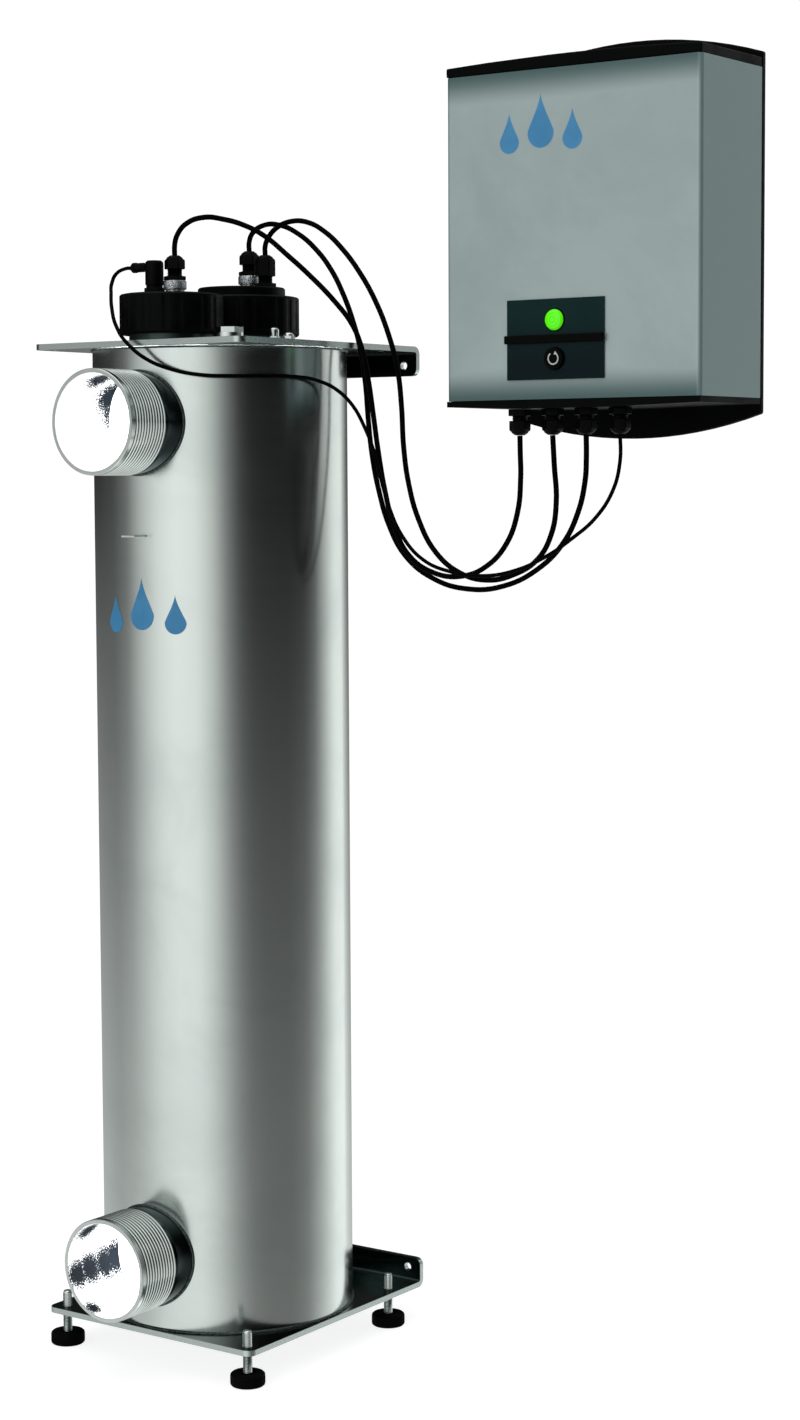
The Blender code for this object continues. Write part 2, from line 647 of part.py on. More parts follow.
def control_panel():
    """The dark panel, the bar across it, the lamp's lens and the sprung reset button."""
    low, high = PANEL_Z
    face = -BOX_FRONT - GAP
    size = (2 * PANEL_HALF_W, PANEL_T, high - low)
    panel = block("control_panel", size, PANEL_DARK, BOX, (PANEL_X, face - PANEL_T / 2, (low + high) / 2))
    for name, z in (("panel_lens_hole", LAMP_LENS_Z), ("panel_button_hole", BUTTON_Z)):
        cut(panel, facing_cutter(name, (PANEL_X, face, z)))
    bar_y = face - PANEL_T - GAP - BAR_T / 2
    bar = block("panel_bar", (2 * PANEL_HALF_W + 0.002, BAR_T, BAR_H), BLACK, BOX, (PANEL_X, bar_y, BAR_Z))
    soften(bar, 0.0008)
    facing = (math.pi / 2, 0, 0)
    lens_at = (PANEL_X, face, LAMP_LENS_Z)
    turned(
        "lamp_lens",
        [(0, -0.010), (0.0088, -0.010), (0.0088, 0.0030), (0.0078, 0.0042), (0.0045, 0.0052), (0, 0.0055)],
        LENS_GREEN, BOX, lens_at, facing, steps=28, closed=False,
    )
    button_at = (PANEL_X, face, BUTTON_Z)
    turned(
        "reset_button",
        [(0, -0.009), (BUTTON_R, -0.009), (BUTTON_R, 0.0036), (BUTTON_R - 0.0008, 0.0044), (0, 0.0044)],
        BLACK, BOX, button_at, facing, steps=28, closed=False,
    )


def electronics():
    back = -HOUSING_T
    block("circuit_board", (0.200, 0.0016, 0.150), BOARD_GREEN, BOX, (0, back - 0.0120, 0.160))
    supply = block("power_supply", (0.110, 0.045, 0.085), CHROMED, BOX, (0.030, back - 0.0360, 0.165))
    soften(supply, 0.0010, 1)


def box_glands():
    """Glands under the box, in a row in front of the back plate."""
    flange, neck, nut, mouth = -0.0055, -0.0094, -0.0160, -0.0212
    levels = [(0, 0.0084, "hex"), (flange, 0.0084, "hex")]
    levels += [(flange, GLAND_NECK_R, "round"), (neck, GLAND_NECK_R, "round")]
    levels += [(neck, GLAND_NUT, "hex"), (nut, GLAND_NUT, "hex")]
    levels += [(-0.0192, 0.0070, "round"), (mouth, GLAND_MOUTH_R, "round")]
    for i, x in enumerate(BOX_GLAND_X):
        at = (x, BOX_GLAND_Y, -BOX_GLAND_DROP)
        hexed(f"box_gland_{i + 1}", levels, BLACK, BOX, at)


# ---------------------------------------------------------------- build
clear_scene()
PARTS = collection("salt_chlorine_generator")
CUTTERS = collection("cutters")

STEEL = material("stainless_steel", (0.62, 0.65, 0.63), 0.28, 1.0)
CHROMED = material("bright_adapter", (0.78, 0.78, 0.76), 0.15, 1.0)
TITANIUM = material("coated_titanium", (0.20, 0.20, 0.21), 0.45, 1.0)
BLACK = material("black_plastic", (0.010, 0.010, 0.011), 0.45)
RUBBER = material("black_rubber", (0.012, 0.012, 0.012), 0.75)
CORD_BLACK = material("cord_jacket", (0.010, 0.010, 0.010), 0.55)
GLASS = material("quartz_glass", (0.85, 0.92, 0.95), 0.05, 0.0, 0.35)
LAMP_WHITE = material("lamp_envelope", (0.85, 0.85, 0.88), 0.20)
BOX_GREY = material("grey_painted_sheet", (0.28, 0.35, 0.34), 0.40)
PANEL_DARK = material("dark_panel", (0.006, 0.023, 0.025), 0.25)
LENS_GREEN = material("green_lens", (0.15, 1.00, 0.01), 0.20)
BOARD_GREEN = material("circuit_board_green", (0.02, 0.18, 0.06), 0.50)

REACTOR = empty("reactor", (0, -WALL_DISTANCE, BASE_Z))
BOX = empty("control_box", (BOX_X, 0, BASE_Z + BOX_Z))

vessel()
plates()
stub("upper")
stub("lower")
earth_lug()
plate_fittings()
closure("lamp", LAMP_Y, LAMP_NUT_R, (0.0060, 0.0400), 0.0360, 0.0300, 0.0400)
closure("cell", CELL_Y, CELL_NUT_R, (0.0080, 0.0420), 0.0420, 0.0380, 0.0500)
ultraviolet_lamp()
electrode_cell()
reactor_glands()
levelling_feet()
front_shell()
end_cap("top")
end_cap("bottom")
rear_housing()
control_panel()
electronics()
box_glands()
cord("lamp_lead", LAMP_LEAD, LEAD_D, CORD_BLACK, 60)
cord("cell_lead", CELL_LEAD, LEAD_D, CORD_BLACK, 60)
cord("cell_return_lead", CELL_RETURN_LEAD, LEAD_D, CORD_BLACK, 60)
cord("sensor_lead", SENSOR_LEAD, SENSOR_LEAD_D, CORD_BLACK, 76)
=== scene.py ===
"""Finished looks of a salt chlorine generator: steel reactor, wall control box and their leads.

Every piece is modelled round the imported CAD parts, in metres, with +Z up and the wall at Y = 0.
"""

from __future__ import annotations

import logging
import math
from collections.abc import Callable, Iterator, Sequence
from contextlib import contextmanager
from dataclasses import dataclass, field
from enum import Enum

import bmesh
import bpy
from mathutils import Matrix, Vector

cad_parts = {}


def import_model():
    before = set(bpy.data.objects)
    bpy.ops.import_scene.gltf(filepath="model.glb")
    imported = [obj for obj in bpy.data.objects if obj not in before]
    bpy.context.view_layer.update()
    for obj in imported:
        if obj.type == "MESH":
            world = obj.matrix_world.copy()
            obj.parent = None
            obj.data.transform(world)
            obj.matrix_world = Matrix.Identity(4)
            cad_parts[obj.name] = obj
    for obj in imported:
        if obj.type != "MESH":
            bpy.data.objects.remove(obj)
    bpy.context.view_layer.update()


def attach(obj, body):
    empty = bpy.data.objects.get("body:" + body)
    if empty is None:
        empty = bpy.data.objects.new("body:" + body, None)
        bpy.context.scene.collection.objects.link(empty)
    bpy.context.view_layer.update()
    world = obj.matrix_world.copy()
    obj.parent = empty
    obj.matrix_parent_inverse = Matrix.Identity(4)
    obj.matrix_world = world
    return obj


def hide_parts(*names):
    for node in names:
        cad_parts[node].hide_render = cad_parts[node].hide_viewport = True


LOG = logging.getLogger("salt_chlorine_generator")

Point = tuple[float, float, float]
Profile = Sequence[tuple[float, float]]
Colour = tuple[float, float, float]
Socket = bpy.types.NodeSocket

ROOT_BODY = "reactor_and_box"
STUB_Z = {"upper": 0.7624, "lower": 0.0549}
HEX_CORNER = 1 / math.cos(math.pi / 6)  # a hexagon's corner radius over half its width across flats
GAP = 0.0003
SMOOTH_ANGLE = math.radians(35)


class Slot(Enum):
    """Material slots of the record."""

    STEEL = "stainless_steel"
    ADAPTER = "bright_metal"
    TITANIUM = "coated_titanium"
    PLASTIC = "black_plastic"
    RUBBER = "black_rubber"
    JACKET = "cord_jacket"
    QUARTZ = "quartz_glass"
    LAMP = "lamp_envelope"
    PAINT = "grey_painted_sheet"
    PANEL = "dark_panel"
    LENS = "green_lens"
    BOARD = "circuit_board_green"


class Facing(Enum):
    """The way that a turned piece points, as the turn from +Z."""

    UP = (0.0, 0.0, 0.0)
    DOWN = (math.pi, 0.0, 0.0)
    FORWARD = (math.pi / 2, 0.0, 0.0)
    LEFT = (0.0, -math.pi / 2, 0.0)


class Brushing(Enum):
    """How closely the brush lines lie along X, Y and Z, in lines per metre."""

    ROUND_VESSEL = (5.0, 5.0, 1500.0)
    ALONG_WALL = (14.0, 700.0, 700.0)
    ALL_WAYS = (420.0, 420.0, 420.0)


# ---------------------------------------------------------------- modelling steps
def deselect() -> None:
    """Leaves nothing selected."""
    for obj in bpy.context.selected_objects:
        obj.select_set(False)


def focus(obj: bpy.types.Object) -> None:
    """Makes one object the only selected and active one.

    Args:
        obj: the object.
    """
    deselect()
    obj.select_set(True)
    bpy.context.view_layer.objects.active = obj


@contextmanager
def editing(obj: bpy.types.Object, mode: str = "FACE") -> Iterator[None]:
    """Opens an object in edit mode with nothing selected.

    Args:
        obj: the mesh object to edit.
        mode: VERT, EDGE or FACE selection.
    """
    focus(obj)
    bpy.ops.object.mode_set(mode="EDIT")
    bpy.ops.mesh.select_mode(type=mode)
    bpy.ops.mesh.select_all(action="DESELECT")
    yield
    bpy.ops.object.mode_set(mode="OBJECT")


def linked(name: str, data: bpy.types.ID) -> bpy.types.Object:
    """Puts a mesh, curve, light or camera into the scene.

    Args:
        name: the new object's name.
        data: what it shows.

    Returns:
        The new object.
    """
    obj = bpy.data.objects.new(name, data)
    bpy.context.scene.collection.objects.link(obj)
    return obj


def choose_faces(obj: bpy.types.Object, test: Callable[[Vector, Vector], bool]) -> None:
    """Selects the faces that a test picks by their centre and normal.

    Args:
        obj: the mesh object, in edit mode.
        test: takes a face's centre and its normal.
    """
    edited = bmesh.from_edit_mesh(obj.data)
    for face in edited.faces:
        face.select_set(test(face.calc_center_median(), face.normal))
    bmesh.update_edit_mesh(obj.data)


def choose_edges(obj: bpy.types.Object, test: Callable[[Vector, Vector], bool]) -> None:
    """Selects the edges that a test picks by their two ends.

    Args:
        obj: the mesh object, in edit mode.
        test: takes an edge's two ends.
    """
    edited = bmesh.from_edit_mesh(obj.data)
    for edge in edited.edges:
        edge.select_set(test(edge.verts[0].co, edge.verts[1].co))
    bmesh.update_edit_mesh(obj.data)


def apply_modifiers(obj: bpy.types.Object) -> None:
    """Applies each modifier of an object in order.

    Args:
        obj: the object.
    """
    focus(obj)
    for name in [m.name for m in obj.modifiers]:
        bpy.ops.object.modifier_apply(modifier=name)


def settle(obj: bpy.types.Object) -> bpy.types.Object:
    """Moves an object's place, turn and size into its mesh.

    Args:
        obj: the object.

    Returns:
        The same object.
    """
    focus(obj)
    bpy.ops.object.transform_apply(location=True, rotation=True, scale=True)
    return obj


def smooth(obj: bpy.types.Object, angle: float = SMOOTH_ANGLE) -> bpy.types.Object:
    """Shades an object smooth except over its sharp edges.

    Args:
        obj: the object.
        angle: the least angle of a sharp edge.

    Returns:
        The same object.
    """
    focus(obj)
    bpy.ops.object.shade_smooth_by_angle(angle=angle)
    return obj


def even_shading(obj: bpy.types.Object) -> bpy.types.Object:
    """Shades an object smooth except over its sharp edges, and keeps its large faces flat.

    Args:
        obj: the object.

    Returns:
        The same object.
    """
    smooth(obj)
    weighted = obj.modifiers.new("even_shading", "WEIGHTED_NORMAL")
    weighted.keep_sharp = True
    apply_modifiers(obj)
    return obj


def bevelled(obj: bpy.types.Object, width: float, segments: int = 2, angle: float = 35.0) -> bpy.types.Object:
    """Rounds an object's sharp edges with an applied Bevel modifier.

    Args:
        obj: the object.
        width: how wide the rounded edges are.
        segments: how finely they are rounded.
        angle: the least angle of a sharp edge, in degrees.

    Returns:
        The same object.
    """
    bevel = obj.modifiers.new("rounded_edges", "BEVEL")
    bevel.width = width
    bevel.segments = segments
    bevel.limit_method = "ANGLE"
    bevel.angle_limit = math.radians(angle)
    bevel.harden_normals = False
    apply_modifiers(obj)
    return obj


def cut_away(obj: bpy.types.Object, tool: bpy.types.Object) -> bpy.types.Object:
    """Cuts one object's shape out of another and throws the cutter away.

    Args:
        obj: the object to cut.
        tool: the shape to take out.

    Returns:
        The cut object.
    """
    cut = obj.modifiers.new("hole", "BOOLEAN")
    cut.operation = "DIFFERENCE"
    cut.solver = "EXACT"
    cut.object = tool
    apply_modifiers(obj)
    bpy.data.objects.remove(tool)
    return obj


def bored(obj: bpy.types.Object, radius: float, centre: Point, length: float, facing: Facing) -> bpy.types.Object:
    """Cuts a round hole through an object.

    Args:
        obj: the object to cut.
        radius: the hole's radius.
        centre: the middle of the drill.
        length: the drill's length.
        facing: the drill's direction.

    Returns:
        The same object.
    """
    deselect()
    bpy.ops.mesh.primitive_cylinder_add(
        vertices=64, radius=radius, depth=length, location=centre, rotation=facing.value
    )
    return cut_away(obj, bpy.context.object)


def turned(
    name: str,
    profile: Profile,
    at: Point = (0, 0, 0),
    facing: Facing = Facing.UP,
    steps: int = 48,
    ring: bool = False,
) -> bpy.types.Object:
    """Spins a profile of (radius, height) points about its own axis.

    Args:
        name: the piece's name.
        profile: the points, in order along the profile.
        at: the place of the profile's zero height, on the axis.
        facing: the way that the height runs.
        steps: the number of steps in the spin.
        ring: whether the profile closes on itself, as a tube's wall does.

    Returns:
        The turned object, with its place in its mesh.
    """
    points = list(profile) + ([profile[0]] if ring else [])
    deselect()
    bpy.ops.mesh.primitive_plane_add(size=0.002)
    obj = bpy.context.object
    obj.name = name
    bpy.ops.object.mode_set(mode="EDIT")
    bpy.ops.mesh.select_mode(type="VERT")
    bpy.ops.mesh.select_all(action="SELECT")
    bpy.ops.mesh.merge(type="CENTER")
    bpy.ops.transform.translate(value=(points[0][0], 0, points[0][1]))
    for (r0, h0), (r1, h1) in zip(points, points[1:]):
        bpy.ops.mesh.extrude_vertices_move(TRANSFORM_OT_translate={"value": (r1 - r0, 0, h1 - h0)})
    bpy.ops.mesh.select_all(action="SELECT")
    bpy.ops.mesh.spin(steps=steps, angle=math.tau, center=(0, 0, 0), axis=(0, 0, 1))
    bpy.ops.mesh.select_all(action="SELECT")
    bpy.ops.mesh.remove_doubles(threshold=0.000004)
    bpy.ops.mesh.delete_loose()
    bpy.ops.mesh.select_all(action="SELECT")
    bpy.ops.mesh.normals_make_consistent(inside=False)
    bpy.ops.object.mode_set(mode="OBJECT")
    obj.location = at
    obj.rotation_euler = facing.value
    return settle(obj)


def stacked(
    name: str, sides: int, levels: Profile, at: Point = (0, 0, 0), facing: Facing = Facing.UP
) -> bpy.types.Object:
    """Extrudes a polygon up through (height, radius) levels.

    Args:
        name: the piece's name.
        sides: the polygon's sides; six makes a spanner hexagon.
        levels: heights and corner radii, from the base up.
        at: the base's place.
        facing: the way that the stack rises.

    Returns:
        The stacked object, with its place in its mesh.
    """
    deselect()
    height, radius = levels[0]
    bpy.ops.mesh.primitive_circle_add(vertices=sides, radius=radius, fill_type="NGON", location=(0, 0, 0))
    obj = bpy.context.object
    obj.name = name
    bpy.ops.object.mode_set(mode="EDIT")
    bpy.ops.mesh.select_all(action="SELECT")
    bpy.ops.transform.translate(value=(0, 0, height))
    for next_height, next_radius in levels[1:]:
        if abs(next_height - height) < 1e-7:
            bpy.ops.mesh.extrude_region()
        else:
            bpy.ops.mesh.extrude_region_move(TRANSFORM_OT_translate={"value": (0, 0, next_height - height)})
        share = next_radius / radius
        bpy.ops.transform.resize(value=(share, share, 1), center_override=(0, 0, next_height))
        height, radius = next_height, next_radius
    bpy.ops.mesh.select_all(action="SELECT")
    bpy.ops.mesh.normals_make_consistent(inside=False)
    bpy.ops.object.mode_set(mode="OBJECT")
    obj.location = at
    obj.rotation_euler = facing.value
    return settle(obj)


def block(name: str, low: Point, high: Point) -> bpy.types.Object:
    """A cube stretched between two corners, as a start for more work.

    Args:
        name: the piece's name.
        low: its lowest corner.
        high: its highest corner.

    Returns:
        The new object.
    """
    size = Vector(high) - Vector(low)
    deselect()
    bpy.ops.mesh.primitive_cube_add(size=1, location=(Vector(high) + Vector(low)) / 2, scale=size)
    obj = bpy.context.object
    obj.name = name
    return settle(obj)


def joined(name: str, pieces: Sequence[bpy.types.Object]) -> bpy.types.Object:
    """Makes one object of several.

    Args:
        name: the whole's name.
        pieces: the objects to join.

    Returns:
        The whole.
    """
    focus(pieces[0])
    for piece in pieces:
        piece.select_set(True)
    bpy.ops.object.join()
    pieces[0].name = name
    return pieces[0]


def refined(node: str, name: str, width: float, segments: int = 2) -> bpy.types.Object:
    """A finer version of a CAD piece: its faces merged and its sharp edges rounded.

    Args:
        node: the CAD node to copy.
        name: the new piece's name.
        width: how wide the rounded edges are.
        segments: how finely they are rounded.

    Returns:
        The new object.
    """
    source = bpy.data.objects[node]
    obj = linked(name, source.data.copy())
    obj.data.materials.clear()
    with editing(obj, "VERT"):
        bpy.ops.mesh.select_all(action="SELECT")
        bpy.ops.mesh.customdata_custom_splitnormals_clear()
        bpy.ops.mesh.remove_doubles(threshold=0.000005)
        bpy.ops.mesh.dissolve_limited(angle_limit=math.radians(1.0))
    if width > 0:
        bevelled(obj, width, segments)
    return obj


def tube(name: str, route: Sequence[Point], radius: float, closed: bool = False) -> bpy.types.Object:
    """A round bar along a smooth route, as a curve object.

    Args:
        name: the piece's name.
        route: points along its centre line.
        radius: its radius.
        closed: whether it runs back to its start.

    Returns:
        The new curve object.
    """
    curve = bpy.data.curves.new(name, "CURVE")
    curve.dimensions = "3D"
    curve.bevel_depth = radius
    curve.bevel_resolution = 4
    curve.resolution_u = 6
    curve.use_fill_caps = not closed
    spline = curve.splines.new("BEZIER")
    spline.bezier_points.add(len(route) - 1)
    for knot, place in zip(spline.bezier_points, route):
        knot.co = place
        knot.handle_left_type = "AUTO"
        knot.handle_right_type = "AUTO"
    spline.use_cyclic_u = closed
    return linked(name, curve)


def as_mesh(obj: bpy.types.Object) -> bpy.types.Object:
    """Turns a curve object into a mesh object in place.

    Args:
        obj: the curve object.

    Returns:
        The mesh object.
    """
    focus(obj)
    bpy.ops.object.convert(target="MESH")
    return bpy.context.object


# ---------------------------------------------------------------- shader groups and finishes
class Graph:
    """Adds and joins nodes in one node tree."""

    def __init__(self, tree: bpy.types.NodeTree) -> None:
        """Keeps the tree to work on."""
        self.tree = tree

    def put(self, entry: Socket, value: Socket | object) -> None:
        """Links a socket to an input, or sets the input's own value.

        Args:
            entry: the input.
            value: the socket or the value.
        """
        if isinstance(value, bpy.types.NodeSocket):
            self.tree.links.new(value, entry)
        else:
            entry.default_value = value

    def node(self, kind: str, values: dict[str | int, object] | None = None, **settings: object) -> bpy.types.Node:
        """Adds a node.

        Args:
            kind: the node's type, without its ShaderNode prefix.
            values: sockets or values for its inputs, by name or number.
            settings: the node's own properties.

        Returns:
            The new node.
        """
        made = self.tree.nodes.new(f"ShaderNode{kind}")
        for key, value in settings.items():
            setattr(made, key, value)
        for key, value in (values or {}).items():
            self.put(made.inputs[key], value)
        return made

    def place(self) -> Socket:
        """The object's own coordinates."""
        return self.node("TexCoord").outputs["Object"]

    def axes(self) -> bpy.types.Node:
        """The object's own coordinates, one by one."""
        return self.node("SeparateXYZ", {"Vector": self.place()})

    def math(self, operation: str, *values: Socket | float) -> Socket:
        """Works out one number from others."""
        return self.node("Math", dict(enumerate(values)), operation=operation).outputs["Value"]

    def ramp(
        self, value: Socket, start: float, end: float, low: float = 0.0, high: float = 1.0, soft: bool = False
    ) -> Socket:
        """Maps a stretch of a value onto another stretch, and holds it at the ends.

        Args:
            value: the value.
            start: where the result is low.
            end: where the result is high.
            low: the result at the start.
            high: the result at the end.
            soft: whether it eases in and out.

        Returns:
            The result's socket.
        """
        spread = self.node(
            "MapRange",
            {"Value": value, "From Min": start, "From Max": end, "To Min": low, "To Max": high},
            interpolation_type="SMOOTHSTEP" if soft else "LINEAR",
        )
        return spread.outputs["Result"]

    def ranged(self, value: Socket, low: float, high: float) -> Socket:
        """Spreads the middle half of a 0 to 1 value between two numbers."""
        return self.ramp(value, 0.25, 0.75, low, high)

    def mix(self, first: Socket | Colour, second: Socket | Colour, share: Socket) -> Socket:
        """Mixes two colours by a mask.

        Args:
            first: the colour where the mask is 0, plain or from a socket.
            second: the colour where the mask is 1.
            share: the mask.

        Returns:
            The mixed colour's socket.
        """
        first, second = (c if isinstance(c, bpy.types.NodeSocket) else (*c, 1) for c in (first, second))
        return self.node("Mix", {0: share, 6: first, 7: second}, data_type="RGBA").outputs[2]

    def bump(self, height: Socket, strength: float, distance: float) -> Socket:
        """Turns a height into a bumped normal."""
        return self.node("Bump", {"Height": height, "Strength": strength, "Distance": distance}).outputs["Normal"]

    def group(self, kind: bpy.types.NodeTree, **values: object) -> Socket:
        """Adds a shared effect with its own values.

        Args:
            kind: the effect's node tree.
            values: its inputs, by their names in small letters.

        Returns:
            The effect's one output.
        """
        made = self.tree.nodes.new("ShaderNodeGroup")
        made.node_tree = kind
        for key, value in values.items():
            made.inputs[key.capitalize()].default_value = value
        return made.outputs[0]


def new_group(name: str, inputs: dict[str, str], output: str) -> tuple[Graph, bpy.types.Node, Socket]:
    """Starts a shader group with named sockets.

    Args:
        name: the group's name.
        inputs: socket names and their kinds.
        output: the name of its one number.

    Returns:
        The graph to fill, the node that holds its inputs, and the socket that it ends in.
    """
    tree = bpy.data.node_groups.new(name, "ShaderNodeTree")
    for socket, kind in inputs.items():
        tree.interface.new_socket(name=socket, in_out="INPUT", socket_type=f"NodeSocket{kind}")
    tree.interface.new_socket(name=output, in_out="OUTPUT", socket_type="NodeSocketFloat")
    entry = tree.nodes.new("NodeGroupInput")
    return Graph(tree), entry, tree.nodes.new("NodeGroupOutput").inputs[output]


@dataclass
class Effects:
    """The effects that several finishes share, each built once."""

    streaks: bpy.types.NodeTree = field(init=False)
    marks: bpy.types.NodeTree = field(init=False)
    pebble: bpy.types.NodeTree = field(init=False)

    def __post_init__(self) -> None:
        """Builds the three groups."""
        self.streaks = self.make_streaks()
        self.marks = self.make_marks()
        self.pebble = self.make_pebble()

    def make_streaks(self) -> bpy.types.NodeTree:
        """Brush lines: noise drawn out along one way.

        Returns:
            The group's tree.
        """
        graph, entry, leave = new_group("brush_streaks", {"Lines": "Vector"}, "Streak")
        stretch = graph.node("Mapping", {"Vector": graph.place(), "Scale": entry.outputs["Lines"]})
        noise = graph.node(
            "TexNoise", {"Vector": stretch.outputs["Vector"], "Scale": 1.0, "Detail": 5.0, "Roughness": 0.68}
        )
        graph.put(leave, noise.outputs["Fac"])
        return graph.tree

    def make_marks(self) -> bpy.types.NodeTree:
        """Handling marks: soft patches that differ a little in gloss and shade.

        Returns:
            The group's tree.
        """
        graph, entry, leave = new_group("handling_marks", {"Scale": "Float", "Amount": "Float"}, "Mask")
        noise = graph.node(
            "TexNoise",
            {"Vector": graph.place(), "Scale": entry.outputs["Scale"], "Detail": 6.0, "Roughness": 0.6,
             "Distortion": 0.4},
        )
        patches = graph.ramp(noise.outputs["Fac"], 0.38, 0.68, soft=True)
        graph.put(leave, graph.math("MULTIPLY", patches, entry.outputs["Amount"]))
        return graph.tree

    def make_pebble(self) -> bpy.types.NodeTree:
        """Moulded or blasted grain: fine cells broken up by noise.

        Returns:
            The group's tree.
        """
        graph, entry, leave = new_group("pebble_grain", {"Scale": "Float"}, "Height")
        where = {"Vector": graph.place(), "Scale": entry.outputs["Scale"]}
        cells = graph.node("TexVoronoi", {**where, "Randomness": 1.0})
        noise = graph.node("TexNoise", {**where, "Detail": 3.0})
        graph.put(leave, graph.math("MULTIPLY", cells.outputs["Distance"], noise.outputs["Fac"]))
        return graph.tree


class Work(Graph):
    """A material in hand: its nodes, its shader and the shared effects."""

    def __init__(self, material: bpy.types.Material, effects: Effects) -> None:
        """Opens a material.

        Args:
            material: the material.
            effects: the shared effects.
        """
        material.use_nodes = True
        super().__init__(material.node_tree)
        self.shader = material.node_tree.nodes["Principled BSDF"]
        self.effects = effects

    def feed(self, values: dict[str, object]) -> None:
        """Links or sets inputs of the shader, by name."""
        for name, value in values.items():
            self.put(self.shader.inputs[name], value)


class Finish:
    """A finish that builds its material the first time that it is asked for."""

    name: str

    def material(self, effects: Effects) -> bpy.types.Material:
        """Looks the finish's material up, or makes it.

        Args:
            effects: the shared effects.

        Returns:
            The material.
        """
        made = bpy.data.materials.get(f"finish_{self.name}")
        if made is None:
            made = bpy.data.materials.new(f"finish_{self.name}")
            self.fill(Work(made, effects))
        return made

    def fill(self, work: Work) -> None:
        """Adds the finish's own nodes; each kind of finish has its own."""
        raise NotImplementedError


@dataclass(frozen=True)
class BrushedMetal(Finish):
    """Metal with brush lines and handling marks."""

    name: str
    tint: Colour
    shade: Colour
    brushing: Brushing
    rough: tuple[float, float] = (0.20, 0.30)
    bump: float = 0.06

    def fill(self, work: Work) -> None:
        """Brush lines in gloss and height, marks in shade.

        Args:
            work: the material in hand.
        """
        streak = work.group(work.effects.streaks, lines=self.brushing.value)
        mask = work.group(work.effects.marks, scale=9.0, amount=0.55)
        work.feed({
            "Metallic": 1.0,
            "Base Color": self.colour(work, mask),
            "Roughness": work.math("MULTIPLY_ADD", mask, 0.05, work.ranged(streak, *self.rough)),
            "Normal": work.bump(streak, self.bump, 0.0004),
        })

    def colour(self, work: Work, mask: Socket) -> Socket:
        """The metal's colour under its handling marks."""
        return work.mix(self.tint, self.shade, mask)


@dataclass(frozen=True)
class ThreadedMetal(BrushedMetal):
    """Turned metal on an axis along Y, with painted shade in a thread's grooves and at its plain root."""

    axis_z: float = 0.0
    root: float = 0.0427
    unshaded_reach: float = 0.0436
    # colour of the painted shade in the grooves and at the plain root
    groove: Colour = (0.060, 0.085, 0.085)

    def colour(self, work: Work, mask: Socket) -> Socket:
        """The bright metal, with painted shade by how deep a point lies in the thread.

        Args:
            work: the material in hand.
            mask: the handling marks.

        Returns:
            The colour's socket.
        """
        flat = {0: work.place(), 1: (1, 0, 1), 2: (0, 0, -self.axis_z)}
        centred = work.node("VectorMath", flat, operation="MULTIPLY_ADD")
        reach = work.node("VectorMath", {0: centred.outputs["Vector"]}, operation="LENGTH")
        # depth is the painted shade mask: 0 out at the crests, 1 in the grooves and at the root
        depth = work.ramp(reach.outputs["Value"], self.unshaded_reach, self.root, soft=True)
        return work.mix(super().colour(work, mask), self.groove, depth)


@dataclass(frozen=True)
class WallSideMetal(BrushedMetal):
    """Brushed metal that grows dark towards the wall, where little light gets in."""

    dark: Colour = (0.010, 0.014, 0.014)
    light_y: float = -0.075
    dark_y: float = -0.020

    def colour(self, work: Work, mask: Socket) -> Socket:
        """The metal's colour, darkened by its nearness to the wall."""
        near = work.ramp(work.axes().outputs["Y"], self.light_y, self.dark_y, soft=True)
        return work.mix(super().colour(work, mask), self.dark, near)


@dataclass(frozen=True)
class PortMetal(Finish):
    """The pale blasted side that the water wets, with painted shade gathered in patches as dark speckle."""

    name: str
    pale: Colour
    # colour of the painted shade in the patches
    patch_shade: Colour
    patches: tuple[tuple[Point, float], ...]
    grain: float = 1000.0
    density: float = 1.5

    def fill(self, work: Work) -> None:
        """Painted shade as dark speckle that grows denser towards the patches' centres, over a fine grain.

        Args:
            work: the material in hand.
        """
        place = work.place()
        dense: Socket | float = 0.0
        for centre, reach in self.patches:
            away = work.node("VectorMath", {0: place, 1: centre}, operation="DISTANCE").outputs["Value"]
            dense = work.math("MAXIMUM", dense, work.ramp(away, reach, 0.0, high=self.density))
        grain = work.node("TexNoise", {"Vector": place, "Scale": self.grain, "Detail": 2.0}).outputs["Fac"]
        total = work.math("ADD", dense, work.ramp(grain, 0.32, 0.68))
        work.feed({
            "Metallic": 0.0,
            "Specular IOR Level": 0.02,
            "Roughness": 0.6,
            "Base Color": work.mix(self.pale, self.patch_shade, work.ramp(total, 1.0, 1.12)),
            "Normal": work.bump(grain, 0.3, 0.0006),
        })


@dataclass(frozen=True)
class BlastedMetal(Finish):
    """Bright metal with a grainy, blasted or knurled surface."""

    name: str
    tint: Colour
    shade: Colour
    grain: float
    rough: tuple[float, float] = (0.12, 0.38)
    bump: float = 0.8

    def fill(self, work: Work) -> None:
        """Coarse grain in shade, gloss and height.

        Args:
            work: the material in hand.
        """
        grain = work.group(work.effects.pebble, scale=self.grain)
        lift = work.ramp(grain, 0.1, 0.4)
        work.feed({
            "Metallic": 1.0,
            "Base Color": work.mix(self.tint, self.shade, lift),
            "Roughness": work.ranged(lift, *self.rough),
            "Normal": work.bump(grain, self.bump, 0.0006),
        })


@dataclass(frozen=True)
class Moulded(Finish):
    """Moulded plastic or rubber with a fine grain."""

    name: str
    tint: Colour
    shade: Colour
    grain: float
    rough: tuple[float, float] = (0.38, 0.52)
    bump: float = 0.25
    specular: float = 0.05

    def fill(self, work: Work) -> None:
        """Grain in height and gloss, dusty patches in shade.

        Args:
            work: the material in hand.
        """
        grain = work.group(work.effects.pebble, scale=self.grain)
        mask = work.group(work.effects.marks, scale=40.0, amount=1.0)
        work.feed({
            "Specular IOR Level": self.specular,
            "Base Color": work.mix(self.tint, self.shade, mask),
            "Roughness": work.ranged(mask, *self.rough),
            "Normal": work.bump(grain, self.bump, 0.0003),
        })


